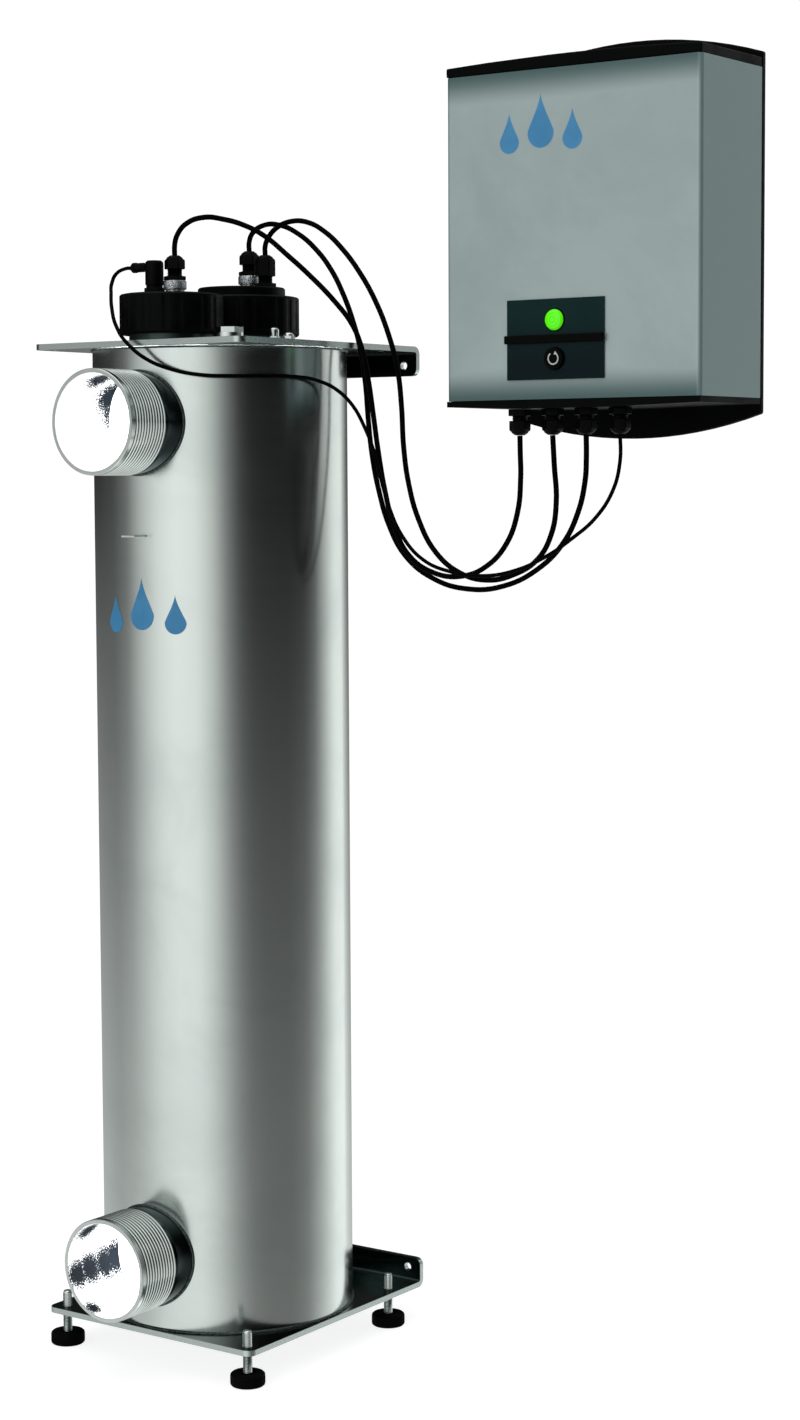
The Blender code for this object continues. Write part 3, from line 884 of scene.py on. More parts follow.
@dataclass(frozen=True)
class PaintedSheet(Finish):
    """Satin paint on folded sheet, with painted shade towards its top and bottom edges and on its outer side."""

    name: str
    tint: Colour
    # shade and side are painted shade: at the top and bottom edges, and on the outer side
    shade: Colour
    side: Colour
    low: float
    high: float
    side_x: float
    fold: float = 0.004
    shaded_edge: float = 0.028

    def fill(self, work: Work) -> None:
        """Orange peel, soft patches, and painted shade at the top and bottom edges and on the outer side.

        Args:
            work: the material in hand.
        """
        axes = work.axes()
        half = (self.high - self.low) / 2
        away = work.math("SUBTRACT", axes.outputs["Z"], (self.low + self.high) / 2)
        # painted shade towards the top and bottom edges, joined with the handling marks
        edge = work.ramp(work.math("ABSOLUTE", away), half - self.shaded_edge, half, soft=True)
        shade_and_marks = work.math("MAXIMUM", edge, work.group(work.effects.marks, scale=7.0, amount=0.16))
        # painted shade on the outer side, past the fold
        folded = work.ramp(axes.outputs["X"], self.side_x - self.fold, self.side_x, soft=True)
        streak = work.group(work.effects.streaks, lines=(60.0, 60.0, 1200.0))
        peel = work.group(work.effects.pebble, scale=1400.0)
        work.feed({
            "Metallic": 0.25,
            "Base Color": work.mix(work.mix(self.tint, self.shade, shade_and_marks), self.side, folded),
            "Roughness": work.ranged(streak, 0.36, 0.48),
            "Normal": work.bump(peel, 0.10, 0.0002),
        })


@dataclass(frozen=True)
class ShadedFilm(Finish):
    """Film that is darker at its foot and lighter at its head, blended between two heights."""

    name: str
    foot: Colour
    head: Colour
    low: float
    high: float

    def fill(self, work: Work) -> None:
        """The shade by height, broken up a little by handling marks, over a fine grain.

        Args:
            work: the material in hand.
        """
        rise = work.ramp(work.axes().outputs["Z"], self.low, self.high, soft=True)
        mask = work.group(work.effects.marks, scale=30.0, amount=0.15)
        share = work.node("Math", {0: rise, 1: mask}, operation="SUBTRACT", use_clamp=True)
        grain = work.group(work.effects.pebble, scale=2400.0)
        work.feed({
            "Specular IOR Level": 0.1,
            "Base Color": work.mix(self.foot, self.head, share.outputs["Value"]),
            "Roughness": work.ranged(mask, 0.24, 0.34),
            "Normal": work.bump(grain, 0.08, 0.0002),
        })


@dataclass(frozen=True)
class Glowing(Finish):
    """Coloured plastic lit from behind, ribbed in rings round its own centre."""

    name: str
    tint: Colour
    centre: Point
    strength: float

    def fill(self, work: Work) -> None:
        """Rings in height, and a glow a little dimmer between them.

        Args:
            work: the material in hand.
        """
        centred = work.node("Mapping", {"Vector": work.place(), "Location": tuple(-c for c in self.centre)})
        waves = {"Vector": centred.outputs["Vector"], "Scale": 260.0, "Detail": 0.0}
        rings = work.node("TexWave", waves, wave_type="RINGS", rings_direction="SPHERICAL").outputs["Fac"]
        colour = work.mix(tuple(0.8 * c for c in self.tint), self.tint, rings)
        work.feed({
            "Base Color": colour,
            "Emission Color": colour,
            "Emission Strength": self.strength,
            "Roughness": work.ranged(rings, 0.18, 0.3),
            "Normal": work.bump(rings, 0.15, 0.0002),
        })


@dataclass(frozen=True)
class ClearGlass(Finish):
    """Quartz tube with faint drawing lines."""

    name: str
    tint: Colour

    def fill(self, work: Work) -> None:
        """Drawing lines in gloss and height; the glass itself stays plain.

        Args:
            work: the material in hand.
        """
        streak = work.group(work.effects.streaks, lines=(260.0, 260.0, 6.0))
        bright = tuple(min(1.0, 1.02 * c) for c in self.tint)
        work.feed({
            "Transmission Weight": 1.0,
            "IOR": 1.46,
            "Base Color": work.mix(self.tint, bright, streak),
            "Roughness": work.ranged(streak, 0.02, 0.07),
            "Normal": work.bump(streak, 0.05, 0.0002),
        })


@dataclass(frozen=True)
class CircuitBoard(Finish):
    """Green solder mask with copper tracks showing through."""

    name: str
    tint: Colour
    track: Colour

    def fill(self, work: Work) -> None:
        """Squared-off cells stand for tracks and pads.

        Args:
            work: the material in hand.
        """
        cells = work.node(
            "TexVoronoi", {"Vector": work.place(), "Scale": 170.0}, distance="MANHATTAN", feature="F2"
        )
        steps = work.ramp(cells.outputs["Distance"], 0.62, 0.66)
        mask = work.group(work.effects.marks, scale=60.0, amount=1.0)
        work.feed({
            "Base Color": work.mix(self.tint, self.track, steps),
            "Roughness": work.ranged(mask, 0.3, 0.5),
            "Normal": work.bump(steps, 0.3, 0.0001),
        })


STEEL_TINT = (0.66, 0.70, 0.68)
STEEL_SHADE = (0.56, 0.61, 0.59)
VESSEL_STEEL = BrushedMetal("vessel_steel", STEEL_TINT, STEEL_SHADE, Brushing.ROUND_VESSEL, (0.16, 0.21), 0.003)
PLATE_STEEL = {
    "top_plate": WallSideMetal(
        "top_plate_steel", (0.40, 0.455, 0.44), (0.33, 0.38, 0.365), Brushing.ALONG_WALL, (0.12, 0.19), 0.02
    ),
    # The foot plate's steel is far darker all over than the head plate's: painted shade.
    "bottom_plate": WallSideMetal(
        "shaded_bottom_plate_steel", (0.085, 0.115, 0.110), (0.055, 0.080, 0.075), Brushing.ALONG_WALL, (0.12, 0.19), 0.02,
        dark=(0.065, 0.100, 0.095),
    ),
}
# Brighter steel for the plates' front and side faces: painted highlight.
LIT_EDGE_STEEL = BrushedMetal("lit_edge_steel", (0.52, 0.575, 0.555), STEEL_SHADE, Brushing.ALONG_WALL, (0.22, 0.30), 0.02)
TURNED_STEEL = BrushedMetal("turned_steel", (0.74, 0.77, 0.75), STEEL_SHADE, Brushing.ALL_WAYS, (0.14, 0.24), 0.04)
THREAD_STEEL = {
    end: ThreadedMetal(
        f"{end}_thread_steel", (0.80, 0.83, 0.81), STEEL_SHADE, Brushing.ALL_WAYS, (0.14, 0.24), 0.02, axis_z=z
    )
    for end, z in STUB_Z.items()
}
# Where the painted shade lies in each port's bore: each patch's centre and reach
PORT_SHADE_PATCHES = {
    "upper": (
        ((-0.0380, -0.2300, 0.7755), 0.034),
        ((-0.0330, -0.2430, 0.7850), 0.028),
        ((-0.0174, -0.2743, 0.7984), 0.020),
    ),
    "lower": (
        ((-0.0393, -0.2300, 0.0480), 0.030),
        ((-0.0392, -0.2459, 0.0467), 0.028),
        ((-0.0389, -0.2592, 0.0455), 0.025),
        ((-0.0387, -0.2786, 0.0449), 0.024),
        ((-0.0384, -0.2942, 0.0436), 0.021),
        ((-0.0291, -0.2911, 0.0824), 0.018),
        ((-0.0175, -0.2991, 0.0189), 0.012),
    ),
}
PORT_STEEL = {
    end: PortMetal(f"{end}_port_steel", (0.97, 0.97, 0.98), (0.004, 0.007, 0.011), patches)
    for end, patches in PORT_SHADE_PATCHES.items()
}
# Dark weld steel: painted shade, so that the beads show no bright line under the top plate or round the stubs.
SHADED_WELD_STEEL = BlastedMetal("shaded_weld_steel", (0.13, 0.16, 0.155), (0.055, 0.075, 0.07), 700.0, (0.42, 0.6), 0.5)
# Steel darkened all over as painted shade, for the necks in the shadow under the ring nuts.
SHADED_NECK_STEEL = BrushedMetal("shaded_neck_steel", (0.06, 0.08, 0.08), (0.035, 0.05, 0.05), Brushing.ALL_WAYS, (0.3, 0.4), 0.04)
ADAPTER_METAL = BlastedMetal("adapter_metal", (0.92, 0.93, 0.95), (0.12, 0.14, 0.17), 1100.0, (0.15, 0.35), 1.0)
TITANIUM = BrushedMetal("coated_titanium", (0.2, 0.2, 0.21), (0.11, 0.1, 0.1), Brushing.ALL_WAYS, (0.4, 0.55), 0.2)
CASE_METAL = BrushedMetal("case_metal", (0.72, 0.72, 0.70), (0.6, 0.6, 0.6), Brushing.ALONG_WALL, (0.3, 0.4), 0.08)
CLOSURE_PLASTIC = Moulded("closure_plastic", (0.0012, 0.0014, 0.0014), (0.0030, 0.0034, 0.0034), 1500.0)
CAP_PLASTIC = Moulded("cap_plastic", (0.0010, 0.0012, 0.0013), (0.0022, 0.0026, 0.0028), 1900.0, (0.42, 0.55))
GLAND_PLASTIC = Moulded("gland_plastic", (0.0013, 0.0014, 0.0015), (0.0032, 0.0034, 0.0035), 2200.0, (0.34, 0.46))
PAD_RUBBER = Moulded("pad_rubber", (0.002, 0.002, 0.002), (0.005, 0.005, 0.0048), 1300.0, (0.62, 0.8), 0.45)
LEAD_JACKET = Moulded("lead_jacket", (0.0012, 0.0012, 0.0013), (0.0028, 0.0028, 0.003), 2600.0, (0.5, 0.6), 0.05, 0.02)
PANEL_FILM = ShadedFilm("panel_film", (0.0012, 0.0120, 0.0165), (0.0048, 0.0310, 0.0330), 0.800, 0.850)
BLUE_PRINT = Moulded("blue_print", (0.095, 0.420, 0.800), (0.080, 0.360, 0.720), 2000.0, (0.3, 0.4), 0.05, 0.4)
WHITE_PRINT = Moulded("white_print", (0.86, 0.88, 0.88), (0.78, 0.80, 0.80), 2000.0, (0.35, 0.45), 0.05, 0.4)
QUARTZ = ClearGlass("quartz", (0.93, 0.97, 0.98))
LAMP_GLASS = Moulded("lamp_glass", (0.82, 0.82, 0.85), (0.72, 0.72, 0.76), 900.0, (0.18, 0.26), 0.05, 0.5)
BOARD = CircuitBoard("board", (0.010, 0.115, 0.040), (0.055, 0.245, 0.080))


# ---------------------------------------------------------------- leads
@dataclass(frozen=True)
class Lead:
    """One lead between the reactor and the control box."""

    node: str
    route: tuple[Point, ...]
    length: float
    diameter: float


LEADS = (
    Lead(
        "lamp_lead",
        (
            (0.004, -0.2023, 0.9034), (0.004, -0.202, 0.912), (0.006, -0.201, 0.920), (0.013, -0.198, 0.929),
            (0.029, -0.193, 0.934), (0.044, -0.186, 0.932), (0.059, -0.178, 0.927), (0.073, -0.168, 0.918),
            (0.088, -0.156, 0.902), (0.103, -0.143, 0.884), (0.118, -0.131, 0.864), (0.128, -0.119, 0.844),
            (0.132, -0.110, 0.822), (0.135, -0.106, 0.797), (0.139, -0.105, 0.769), (0.144, -0.105, 0.738),
            (0.151, -0.105, 0.704), (0.160, -0.105, 0.675), (0.175, -0.105, 0.651), (0.199, -0.105, 0.637),
            (0.228, -0.105, 0.634), (0.254, -0.105, 0.643), (0.271, -0.102, 0.661), (0.278, -0.096, 0.686),
            (0.2775, -0.090, 0.716), (0.276, -0.0883, 0.736), (0.2757, -0.0883, 0.7498),
        ),
        0.61, 0.0045,
    ),
    Lead(
        "cell_lead",
        (
            (0.000, -0.0965, 0.9137), (0.000, -0.0965, 0.921), (0.004, -0.0965, 0.929), (0.016, -0.096, 0.935),
            (0.034, -0.096, 0.934), (0.053, -0.096, 0.926), (0.072, -0.096, 0.912), (0.089, -0.096, 0.893),
            (0.102, -0.096, 0.871), (0.112, -0.096, 0.848), (0.119, -0.095, 0.823), (0.123, -0.094, 0.795),
            (0.125, -0.093, 0.765), (0.129, -0.093, 0.734), (0.136, -0.093, 0.704), (0.146, -0.093, 0.676),
            (0.163, -0.093, 0.650), (0.192, -0.093, 0.631), (0.227, -0.093, 0.623), (0.262, -0.093, 0.626),
            (0.295, -0.093, 0.640), (0.319, -0.092, 0.661), (0.333, -0.091, 0.686), (0.339, -0.089, 0.713),
            (0.3397, -0.0883, 0.733), (0.3395, -0.0883, 0.7498),
        ),
        0.64, 0.0045,
    ),
    Lead(
        "cell_return_lead",
        (
            (0.022, -0.102, 0.9089), (0.022, -0.102, 0.916), (0.026, -0.102, 0.924), (0.036, -0.102, 0.932),
            (0.051, -0.102, 0.936), (0.069, -0.102, 0.934), (0.087, -0.102, 0.925), (0.105, -0.102, 0.910),
            (0.122, -0.101, 0.890), (0.138, -0.100, 0.865), (0.151, -0.099, 0.836), (0.160, -0.099, 0.807),
            (0.164, -0.099, 0.776), (0.166, -0.099, 0.742), (0.171, -0.099, 0.711), (0.181, -0.099, 0.681),
            (0.198, -0.099, 0.654), (0.222, -0.099, 0.637), (0.249, -0.099, 0.631), (0.276, -0.098, 0.636),
            (0.298, -0.096, 0.649), (0.309, -0.093, 0.669), (0.312, -0.090, 0.695), (0.309, -0.0883, 0.726),
            (0.3075, -0.0883, 0.7498),
        ),
        0.60, 0.0045,
    ),
    Lead(
        "sensor_lead",
        (
            (-0.0442, -0.2023, 0.8947), (-0.0500, -0.2027, 0.8946), (-0.0560, -0.207, 0.891),
            (-0.056, -0.214, 0.882), (-0.050, -0.222, 0.872), (-0.038, -0.235, 0.859), (-0.018, -0.252, 0.842),
            (-0.002, -0.259, 0.829), (0.017, -0.257, 0.815), (0.037, -0.249, 0.806), (0.059, -0.237, 0.801),
            (0.080, -0.221, 0.800), (0.097, -0.201, 0.800), (0.109, -0.177, 0.800), (0.116, -0.152, 0.797),
            (0.122, -0.132, 0.789), (0.129, -0.120, 0.776), (0.136, -0.114, 0.759), (0.143, -0.111, 0.740),
            (0.150, -0.111, 0.718), (0.159, -0.111, 0.692), (0.172, -0.111, 0.668), (0.193, -0.111, 0.648),
            (0.221, -0.111, 0.638), (0.255, -0.111, 0.635), (0.286, -0.111, 0.640), (0.313, -0.109, 0.651),
            (0.336, -0.105, 0.666), (0.355, -0.099, 0.683), (0.367, -0.092, 0.705), (0.3713, -0.0883, 0.728),
            (0.3715, -0.0883, 0.7498),
        ),
        0.74, 0.0032,
    ),
)


# ---------------------------------------------------------------- sub-assemblies
@dataclass
class Assembly:
    """What every sub-assembly shares: the effects, and the way a piece is handed over."""

    effects: Effects

    def dress(self, obj: bpy.types.Object, finish: Finish) -> bpy.types.Object:
        """Gives an object one finish.

        Args:
            obj: the object.
            finish: its finish.

        Returns:
            The same object.
        """
        obj.data.materials.clear()
        obj.data.materials.append(finish.material(self.effects))
        return obj

    def hand_over(
        self, obj: bpy.types.Object, finish: Finish, slot: Slot, nodes: Sequence[str] = (), body: str = ROOT_BODY
    ) -> bpy.types.Object:
        """Dresses a finished piece, lets it ride on its body and hides what it stands for.

        Args:
            obj: the finished piece.
            finish: its finish.
            slot: the record's material slot; not used.
            nodes: the CAD nodes that it replaces.
            body: the CAD body that it rides on.

        Returns:
            The same piece.
        """
        if obj.type == "MESH":
            even_shading(obj)
        self.dress(obj, finish)
        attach(obj, body)
        if nodes:
            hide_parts(*nodes)
        LOG.info("%s rides on %s", obj.name, body)
        return obj

    def keep(self, node: str, finish: Finish) -> None:
        """Keeps a CAD node's shape and gives it a better finish.

        Args:
            node: the CAD node.
            finish: its finish.
        """
        obj = bpy.data.objects[node]
        if not obj.material_slots:
            obj.data.materials.append(None)
        for material_slot in obj.material_slots:
            material_slot.material = finish.material(self.effects)
        LOG.info("%s kept with a new finish", node)


@dataclass
class Leads(Assembly):
    """The four leads, from the closures to the control box."""

    def build(self) -> None:
        """Lays each lead along its route as one smooth cord."""
        for lead in LEADS:
            jacket = tube(f"{lead.node}_jacket", lead.route, lead.diameter / 2)
            self.hand_over(jacket, LEAD_JACKET, Slot.JACKET, [lead.node])


@dataclass
class Reactor(Assembly):
    """The vessel, its two bent plates, its threaded stubs and the small fittings on the top plate."""

    axis_y: float = -0.1383
    radius: float = 0.10955
    wall: float = 0.0025
    low: float = -0.0076
    high: float = 0.8254
    stub_rim: float = 0.1668
    bore: float = 0.0400
    lip: float = 0.0437
    crest: float = 0.0439
    root: float = 0.0426
    groove: float = 0.0417
    pitch: float = 0.0034
    ridges: int = 12

    def build(self) -> None:
        """Models and dresses the reactor's pieces."""
        self.vessel()
        self.welds()
        self.plates()
        for end in STUB_Z:
            self.stub(end)
        self.fittings()

    def vessel(self) -> None:
        """The pipe, in short lengths so that its shading stays true beside the ports."""
        rows = 28
        outer = [(self.radius, self.low + (self.high - self.low) * i / rows) for i in range(rows + 1)]
        inner = self.radius - self.wall
        shell = turned(
            "vessel_pipe", [*outer, (inner, self.high), (inner, self.low)], (0, self.axis_y, 0), steps=160, ring=True
        )
        for z in STUB_Z.values():
            bored(shell, self.bore, (0, self.axis_y - self.radius, z), 0.06, Facing.FORWARD)
        self.hand_over(shell, VESSEL_STEEL, Slot.STEEL, ["vessel_shell"])
        within = self.radius - 0.0004
        self.line(shell, PORT_STEEL["upper"], lambda spot: math.hypot(spot.x, spot.y - self.axis_y) < within)

    def line(self, obj: bpy.types.Object, finish: PortMetal, inside: Callable[[Vector], bool]) -> None:
        """Gives the faces that a test picks by their centre the pale finish of the wetted side.

        Args:
            obj: the vessel or a stub.
            finish: the finish of its wetted side.
            inside: the test on a face's centre.
        """
        obj.data.materials.append(finish.material(self.effects))
        for face in obj.data.polygons:
            face.material_index = int(inside(face.center))

    def welds(self) -> None:
        """Beads where the pipe meets its plates, and where the stubs meet the pipe."""
        bead, sunk = 0.0016, self.radius - 0.0004
        for name, z, way in (("bottom_weld", self.low, 1), ("top_weld", self.high, -1)):
            profile = [(sunk, z)]
            for angle in (math.radians(10 * i) for i in range(10)):
                profile.append((self.radius + 0.9 * bead * math.cos(angle), z + way * bead * math.sin(angle)))
            profile.append((sunk, z + way * bead))
            ring = turned(name, profile, (0, self.axis_y, 0), steps=160, ring=True)
            self.hand_over(ring, SHADED_WELD_STEEL, Slot.STEEL)
        reach = self.root + 0.0004
        for end, z in STUB_Z.items():
            route = []
            for angle in (math.tau * i / 40 for i in range(40)):
                x = reach * math.cos(angle)
                y = self.axis_y - math.sqrt(self.radius**2 - x**2) - 0.0003
                route.append((x, y, z + reach * math.sin(angle)))
            seam = as_mesh(tube(f"{end}_stub_weld", route, 0.0013, closed=True))
            self.hand_over(seam, SHADED_WELD_STEEL, Slot.STEEL)

    def plates(self) -> None:
        """The two pressed plates with crisp edges, whose front and side faces get a brighter steel as painted
        highlight.
        """
        for node, name in (("top_plate", "head_plate"), ("bottom_plate", "foot_plate")):
            plate = refined(node, name, 0.0006, 2)
            self.hand_over(plate, PLATE_STEEL[node], Slot.STEEL, [node])
            plate.data.materials.append(LIT_EDGE_STEEL.material(self.effects))
            for face in plate.data.polygons:
                front = face.normal.y < -0.6 and face.center.y < self.axis_y - self.radius / 2
                face.material_index = int(front or abs(face.normal.x) > 0.6)

    def stub(self, end: str) -> None:
        """One threaded stub, with its grainy bore and its root cut to the pipe.

        Args:
            end: upper or lower.
        """
        rim, inner_end = self.stub_rim, 0.098
        crest, root = self.crest - 0.0001, self.root + 0.0002
        profile = [(self.bore, inner_end), (self.bore, rim - 0.0004), (self.bore + 0.0004, rim)]
        profile += [(self.lip - 0.0005, rim), (self.lip, rim - 0.0005)]
        height = rim - 0.0022
        profile.append((self.lip, height))
        for _ in range(self.ridges):
            profile += [(crest, height - 0.40 * self.pitch), (crest, height - 0.66 * self.pitch)]
            height -= self.pitch
            profile.append((self.groove, height))
        profile += [(self.root, height - 0.003), (root, height - 0.004), (root, inner_end)]
        at = (0, self.axis_y, STUB_Z[end])
        pipe = turned(f"{end}_pipe_stub", profile, at, Facing.FORWARD, steps=128, ring=True)
        bored(pipe, self.radius + 0.0001, at, 0.2, Facing.UP)
        self.hand_over(pipe, THREAD_STEEL[end], Slot.STEEL, [f"{end}_stub"])
        self.line(pipe, PORT_STEEL[end], lambda spot: math.hypot(spot.x, spot.z - at[2]) < self.bore + 0.0002)
        pipe.data.materials.append(TURNED_STEEL.material(self.effects))
        for face in pipe.data.polygons:
            if face.center.y < self.axis_y - rim + 0.0004 and not face.material_index:
                face.material_index = 2

    def fittings(self) -> None:
        """The lug on the vessel, and the plug, studs and screw on the top plate."""
        for node, width in (
            ("earth_lug", 0.0004), ("vent_plug", 0.0007), ("plate_screw", 0.0005),
            ("plate_stud_left", 0.0005), ("plate_stud_right", 0.0005),
        ):
            self.hand_over(refined(node, f"{node}_bright", width), TURNED_STEEL, Slot.STEEL, [node])
        # the necks get the darkened steel: painted shade
        for node in ("lamp_neck", "cell_neck"):
            self.hand_over(refined(node, f"{node}_ring", 0.0005), SHADED_NECK_STEEL, Slot.STEEL, [node])


@dataclass
class Closures(Assembly):
    """The lamp's and the cell's closures on the top plate, with what hangs below them."""

    plate_top: float = 0.8307
    flutes: int = 24

    def build(self) -> None:
        """Models the heads and ring nuts, and dresses the sealed pieces."""
        self.nut("lamp", (0, -0.2023), 0.0438, 0.0060, 0.0400)
        self.nut("cell", (0, -0.1078), 0.0500, 0.0080, 0.0420)
        self.head("lamp", (0, -0.2023), 0.0360, 0.0300, 0.0400)
        self.head("cell", (0, -0.1078), 0.0420, 0.0380, 0.0500)
        for node, finish in (
            ("lamp_seal", PAD_RUBBER), ("cell_seal", PAD_RUBBER), ("electrode_holder", CLOSURE_PLASTIC),
            ("quartz_sleeve", QUARTZ), ("uv_lamp", LAMP_GLASS),
            ("electrode_plate_1", TITANIUM), ("electrode_plate_2", TITANIUM), ("electrode_plate_3", TITANIUM),
        ):
            self.keep(node, finish)

    def nut(self, name: str, centre: tuple[float, float], radius: float, low: float, high: float) -> None:
        """A ring nut with rounded rims and shallow grip flutes round its side.

        Args:
            name: lamp or cell.
            centre: the nut's axis.
            radius: its outer radius.
            low: its underside over the top plate.
            high: its top over the top plate.
        """
        low_r, boss = {"lamp": (0.0363, 0.0303), "cell": (0.0423, 0.0383)}[name]
        shelf = 0.0334
        edge = 0.0016
        profile = [(low_r, low), (radius - edge, low), (radius, low + edge), (radius, low + 2 * edge)]
        profile += [(radius, high - 2 * edge), (radius, high - edge), (radius - edge * 0.7, high - edge * 0.3)]
        profile += [(radius - edge * 2, high), (boss, high), (boss, shelf), (low_r, shelf)]
        nut = turned(f"{name}_grip_nut", profile, (*centre, self.plate_top), steps=self.flutes * 6, ring=True)
        step = math.tau / (self.flutes * 6)
        middle = self.plate_top + (low + high) / 2

        def in_flute(spot: Vector, normal: Vector) -> bool:
            """Whether a face is one of the side faces that make a flute.

            Args:
                spot: the face's centre.
                normal: the face's normal.

            Returns:
                True for a face in a flute.
            """
            turn = math.atan2(spot.y - centre[1], spot.x - centre[0]) % math.tau
            outward = math.hypot(spot.x - centre[0], spot.y - centre[1]) > radius * 0.98
            return outward and abs(normal.z) < 0.1 and abs(spot.z - middle) < 0.004 and int(turn / step) % 6 < 3

        with editing(nut):
            choose_faces(nut, in_flute)
            bpy.ops.mesh.inset(thickness=0.0010, depth=-0.0006, use_boundary=True)
        self.hand_over(nut, CLOSURE_PLASTIC, Slot.PLASTIC, [f"{name}_ring_nut"], f"{name}_ring_nut")

    def head(self, name: str, centre: tuple[float, float], rim: float, boss: float, top: float) -> None:
        """A closure's head: a flange under the nut and a stepped boss through it.

        Args:
            name: lamp or cell.
            centre: the head's axis.
            rim: the flange's radius.
            boss: the boss's radius.
            top: the boss's top over the plate.
        """
        low = 0.0295
        profile = [(0, low), (rim, low), (rim, low + 0.0035), (boss, low + 0.0035), (boss, top - 0.0012)]
        profile += [(boss - 0.0012, top), (boss - 0.0040, top), (boss - 0.0046, top - 0.0006)]
        profile += [(boss - 0.0060, top - 0.0006), (boss - 0.0066, top), (0, top)]
        head = turned(f"{name}_closure_head", profile, (*centre, self.plate_top), steps=96)
        self.hand_over(head, CLOSURE_PLASTIC, Slot.PLASTIC, [f"{name}_head"])


@dataclass
class Glands(Assembly):
    """Cable glands, their bright adapters and the elbow plug."""

    plate_top: float = 0.8307
    box_row: tuple[float, ...] = (0.2757, 0.3075, 0.3395, 0.3715)

    def build(self) -> None:
        """Models each gland on the closures and under the box."""
        top = self.plate_top
        self.gland("lamp_gland", (0.004, -0.2023, top + 0.0515), 0.0208, Facing.UP, 0.00235)
        self.gland("cell_gland", (0.0, -0.0965, top + 0.0615), 0.0212, Facing.UP, 0.00235)
        self.gland("cell_return_gland", (0.022, -0.1020, top + 0.0503), 0.0276, Facing.UP, 0.00235)
        self.adapter("lamp_gland_adapter", (0.004, -0.2023, top + 0.0403))
        self.adapter("cell_gland_adapter", (0.0, -0.0965, top + 0.0503))
        for i, x in enumerate(self.box_row):
            way = 0.0017 if i == 3 else 0.00235
            self.gland(f"box_gland_{i + 1}", (x, -0.0883, 0.7713), 0.0212, Facing.DOWN, way)
        self.elbow()

    def gland(self, node: str, at: Point, height: float, facing: Facing, way: float) -> None:
        """One gland: a hexagonal body, a threaded waist, a domed hexagonal nut and its rubber.

        Args:
            node: the CAD gland that it replaces.
            at: the middle of its base.
            height: its whole height.
            facing: up on the closures, down under the box.
            way: the radius of the lead's way through the rubber.
        """
        low, waist = 0.0035, 0.0093
        if facing is Facing.DOWN:
            low, waist = 0.0055, 0.0094
        flange, nut, crown_foot = 0.0083 * HEX_CORNER, 0.0078 * HEX_CORNER, height - 0.0056
        body = stacked("gland_body", 6, [(0, flange), (low, flange)], at, facing)
        bevelled(body, 0.0006)
        thread: list[tuple[float, float]] = [(0, low)]
        for i in range(int((waist - low) / 0.0014)):
            thread += [(0.0058, low + 0.0014 * i), (0.0063, low + 0.0014 * i + 0.0007)]
        thread += [(0.0058, waist), (0, waist)]
        neck = turned("gland_neck", thread, at, facing, steps=32)
        dome = stacked(
            "gland_nut", 6,
            [(waist, nut), (height - 0.0050, nut), (height - 0.0032, 0.0073 * HEX_CORNER)],
            at, facing,
        )
        bevelled(dome, 0.0007)
        crown = turned(
            "gland_crown",
            [(0.0078, crown_foot), (0.0076, height - 0.0036), (0.0066, height - 0.0018),
             (0.0050, height - 0.0007), (0.0040, height), (way, height), (way, crown_foot)],
            at, facing, steps=40, ring=True,
        )
        whole = joined(f"{node}_fitting", [body, neck, dome, crown])
        self.hand_over(whole, GLAND_PLASTIC, Slot.PLASTIC, [node])

    def adapter(self, node: str, at: Point) -> None:
        """A bright knurled ring between a head and its gland.

        Args:
            node: the CAD adapter that it replaces.
            at: the middle of its base.
        """
        ring = turned(
            f"{node}_ring",
            [(0, 0), (0.0080, 0), (0.0080, 0.0032), (0.0094, 0.0036), (0.0098, 0.0044), (0.0098, 0.0100),
             (0.0092, 0.0109), (0, 0.0109)],
            at, steps=60,
        )
        self.hand_over(ring, ADAPTER_METAL, Slot.ADAPTER, [node])

    def elbow(self) -> None:
        """The sensor's elbow socket, and the plug that points left out of it."""
        at = (-0.0185, -0.2023, self.plate_top + 0.0403)
        foot = stacked("elbow_foot", 6, [(0, 0.0078 * HEX_CORNER), (0.0060, 0.0078 * HEX_CORNER)], at)
        bevelled(foot, 0.0006)
        post = turned(
            "elbow_post",
            [(0, 0.0058), (0.0070, 0.0058), (0.0070, 0.0080), (0.0078, 0.0086), (0.0078, 0.0262),
             (0.0074, 0.0276), (0.0060, 0.0288), (0, 0.0288)],
            at, steps=48,
        )
        self.hand_over(joined("sensor_elbow_socket", [foot, post]), GLAND_PLASTIC, Slot.PLASTIC, ["sensor_elbow"])
        plug_at = (-0.0185, -0.2023, self.plate_top + 0.0640)
        barrel: list[tuple[float, float]] = [(0, 0.0078), (0.0037, 0.0078), (0.0037, 0.0112)]
        for i in range(5):
            start = 0.0112 + 0.0016 * i
            barrel += [(0.0040, start + 0.0003), (0.0040, start + 0.0010), (0.0036, start + 0.0013)]
        barrel += [(0.0037, 0.0196), (0.0044, 0.0199), (0.0044, 0.0228), (0.0036, 0.0234)]
        barrel += [(0.0026, 0.0251), (0.0017, 0.0252), (0, 0.0252)]
        plug = turned("sensor_plug_barrel", barrel, plug_at, Facing.LEFT, steps=40)
        self.hand_over(plug, GLAND_PLASTIC, Slot.PLASTIC, ["sensor_plug"])


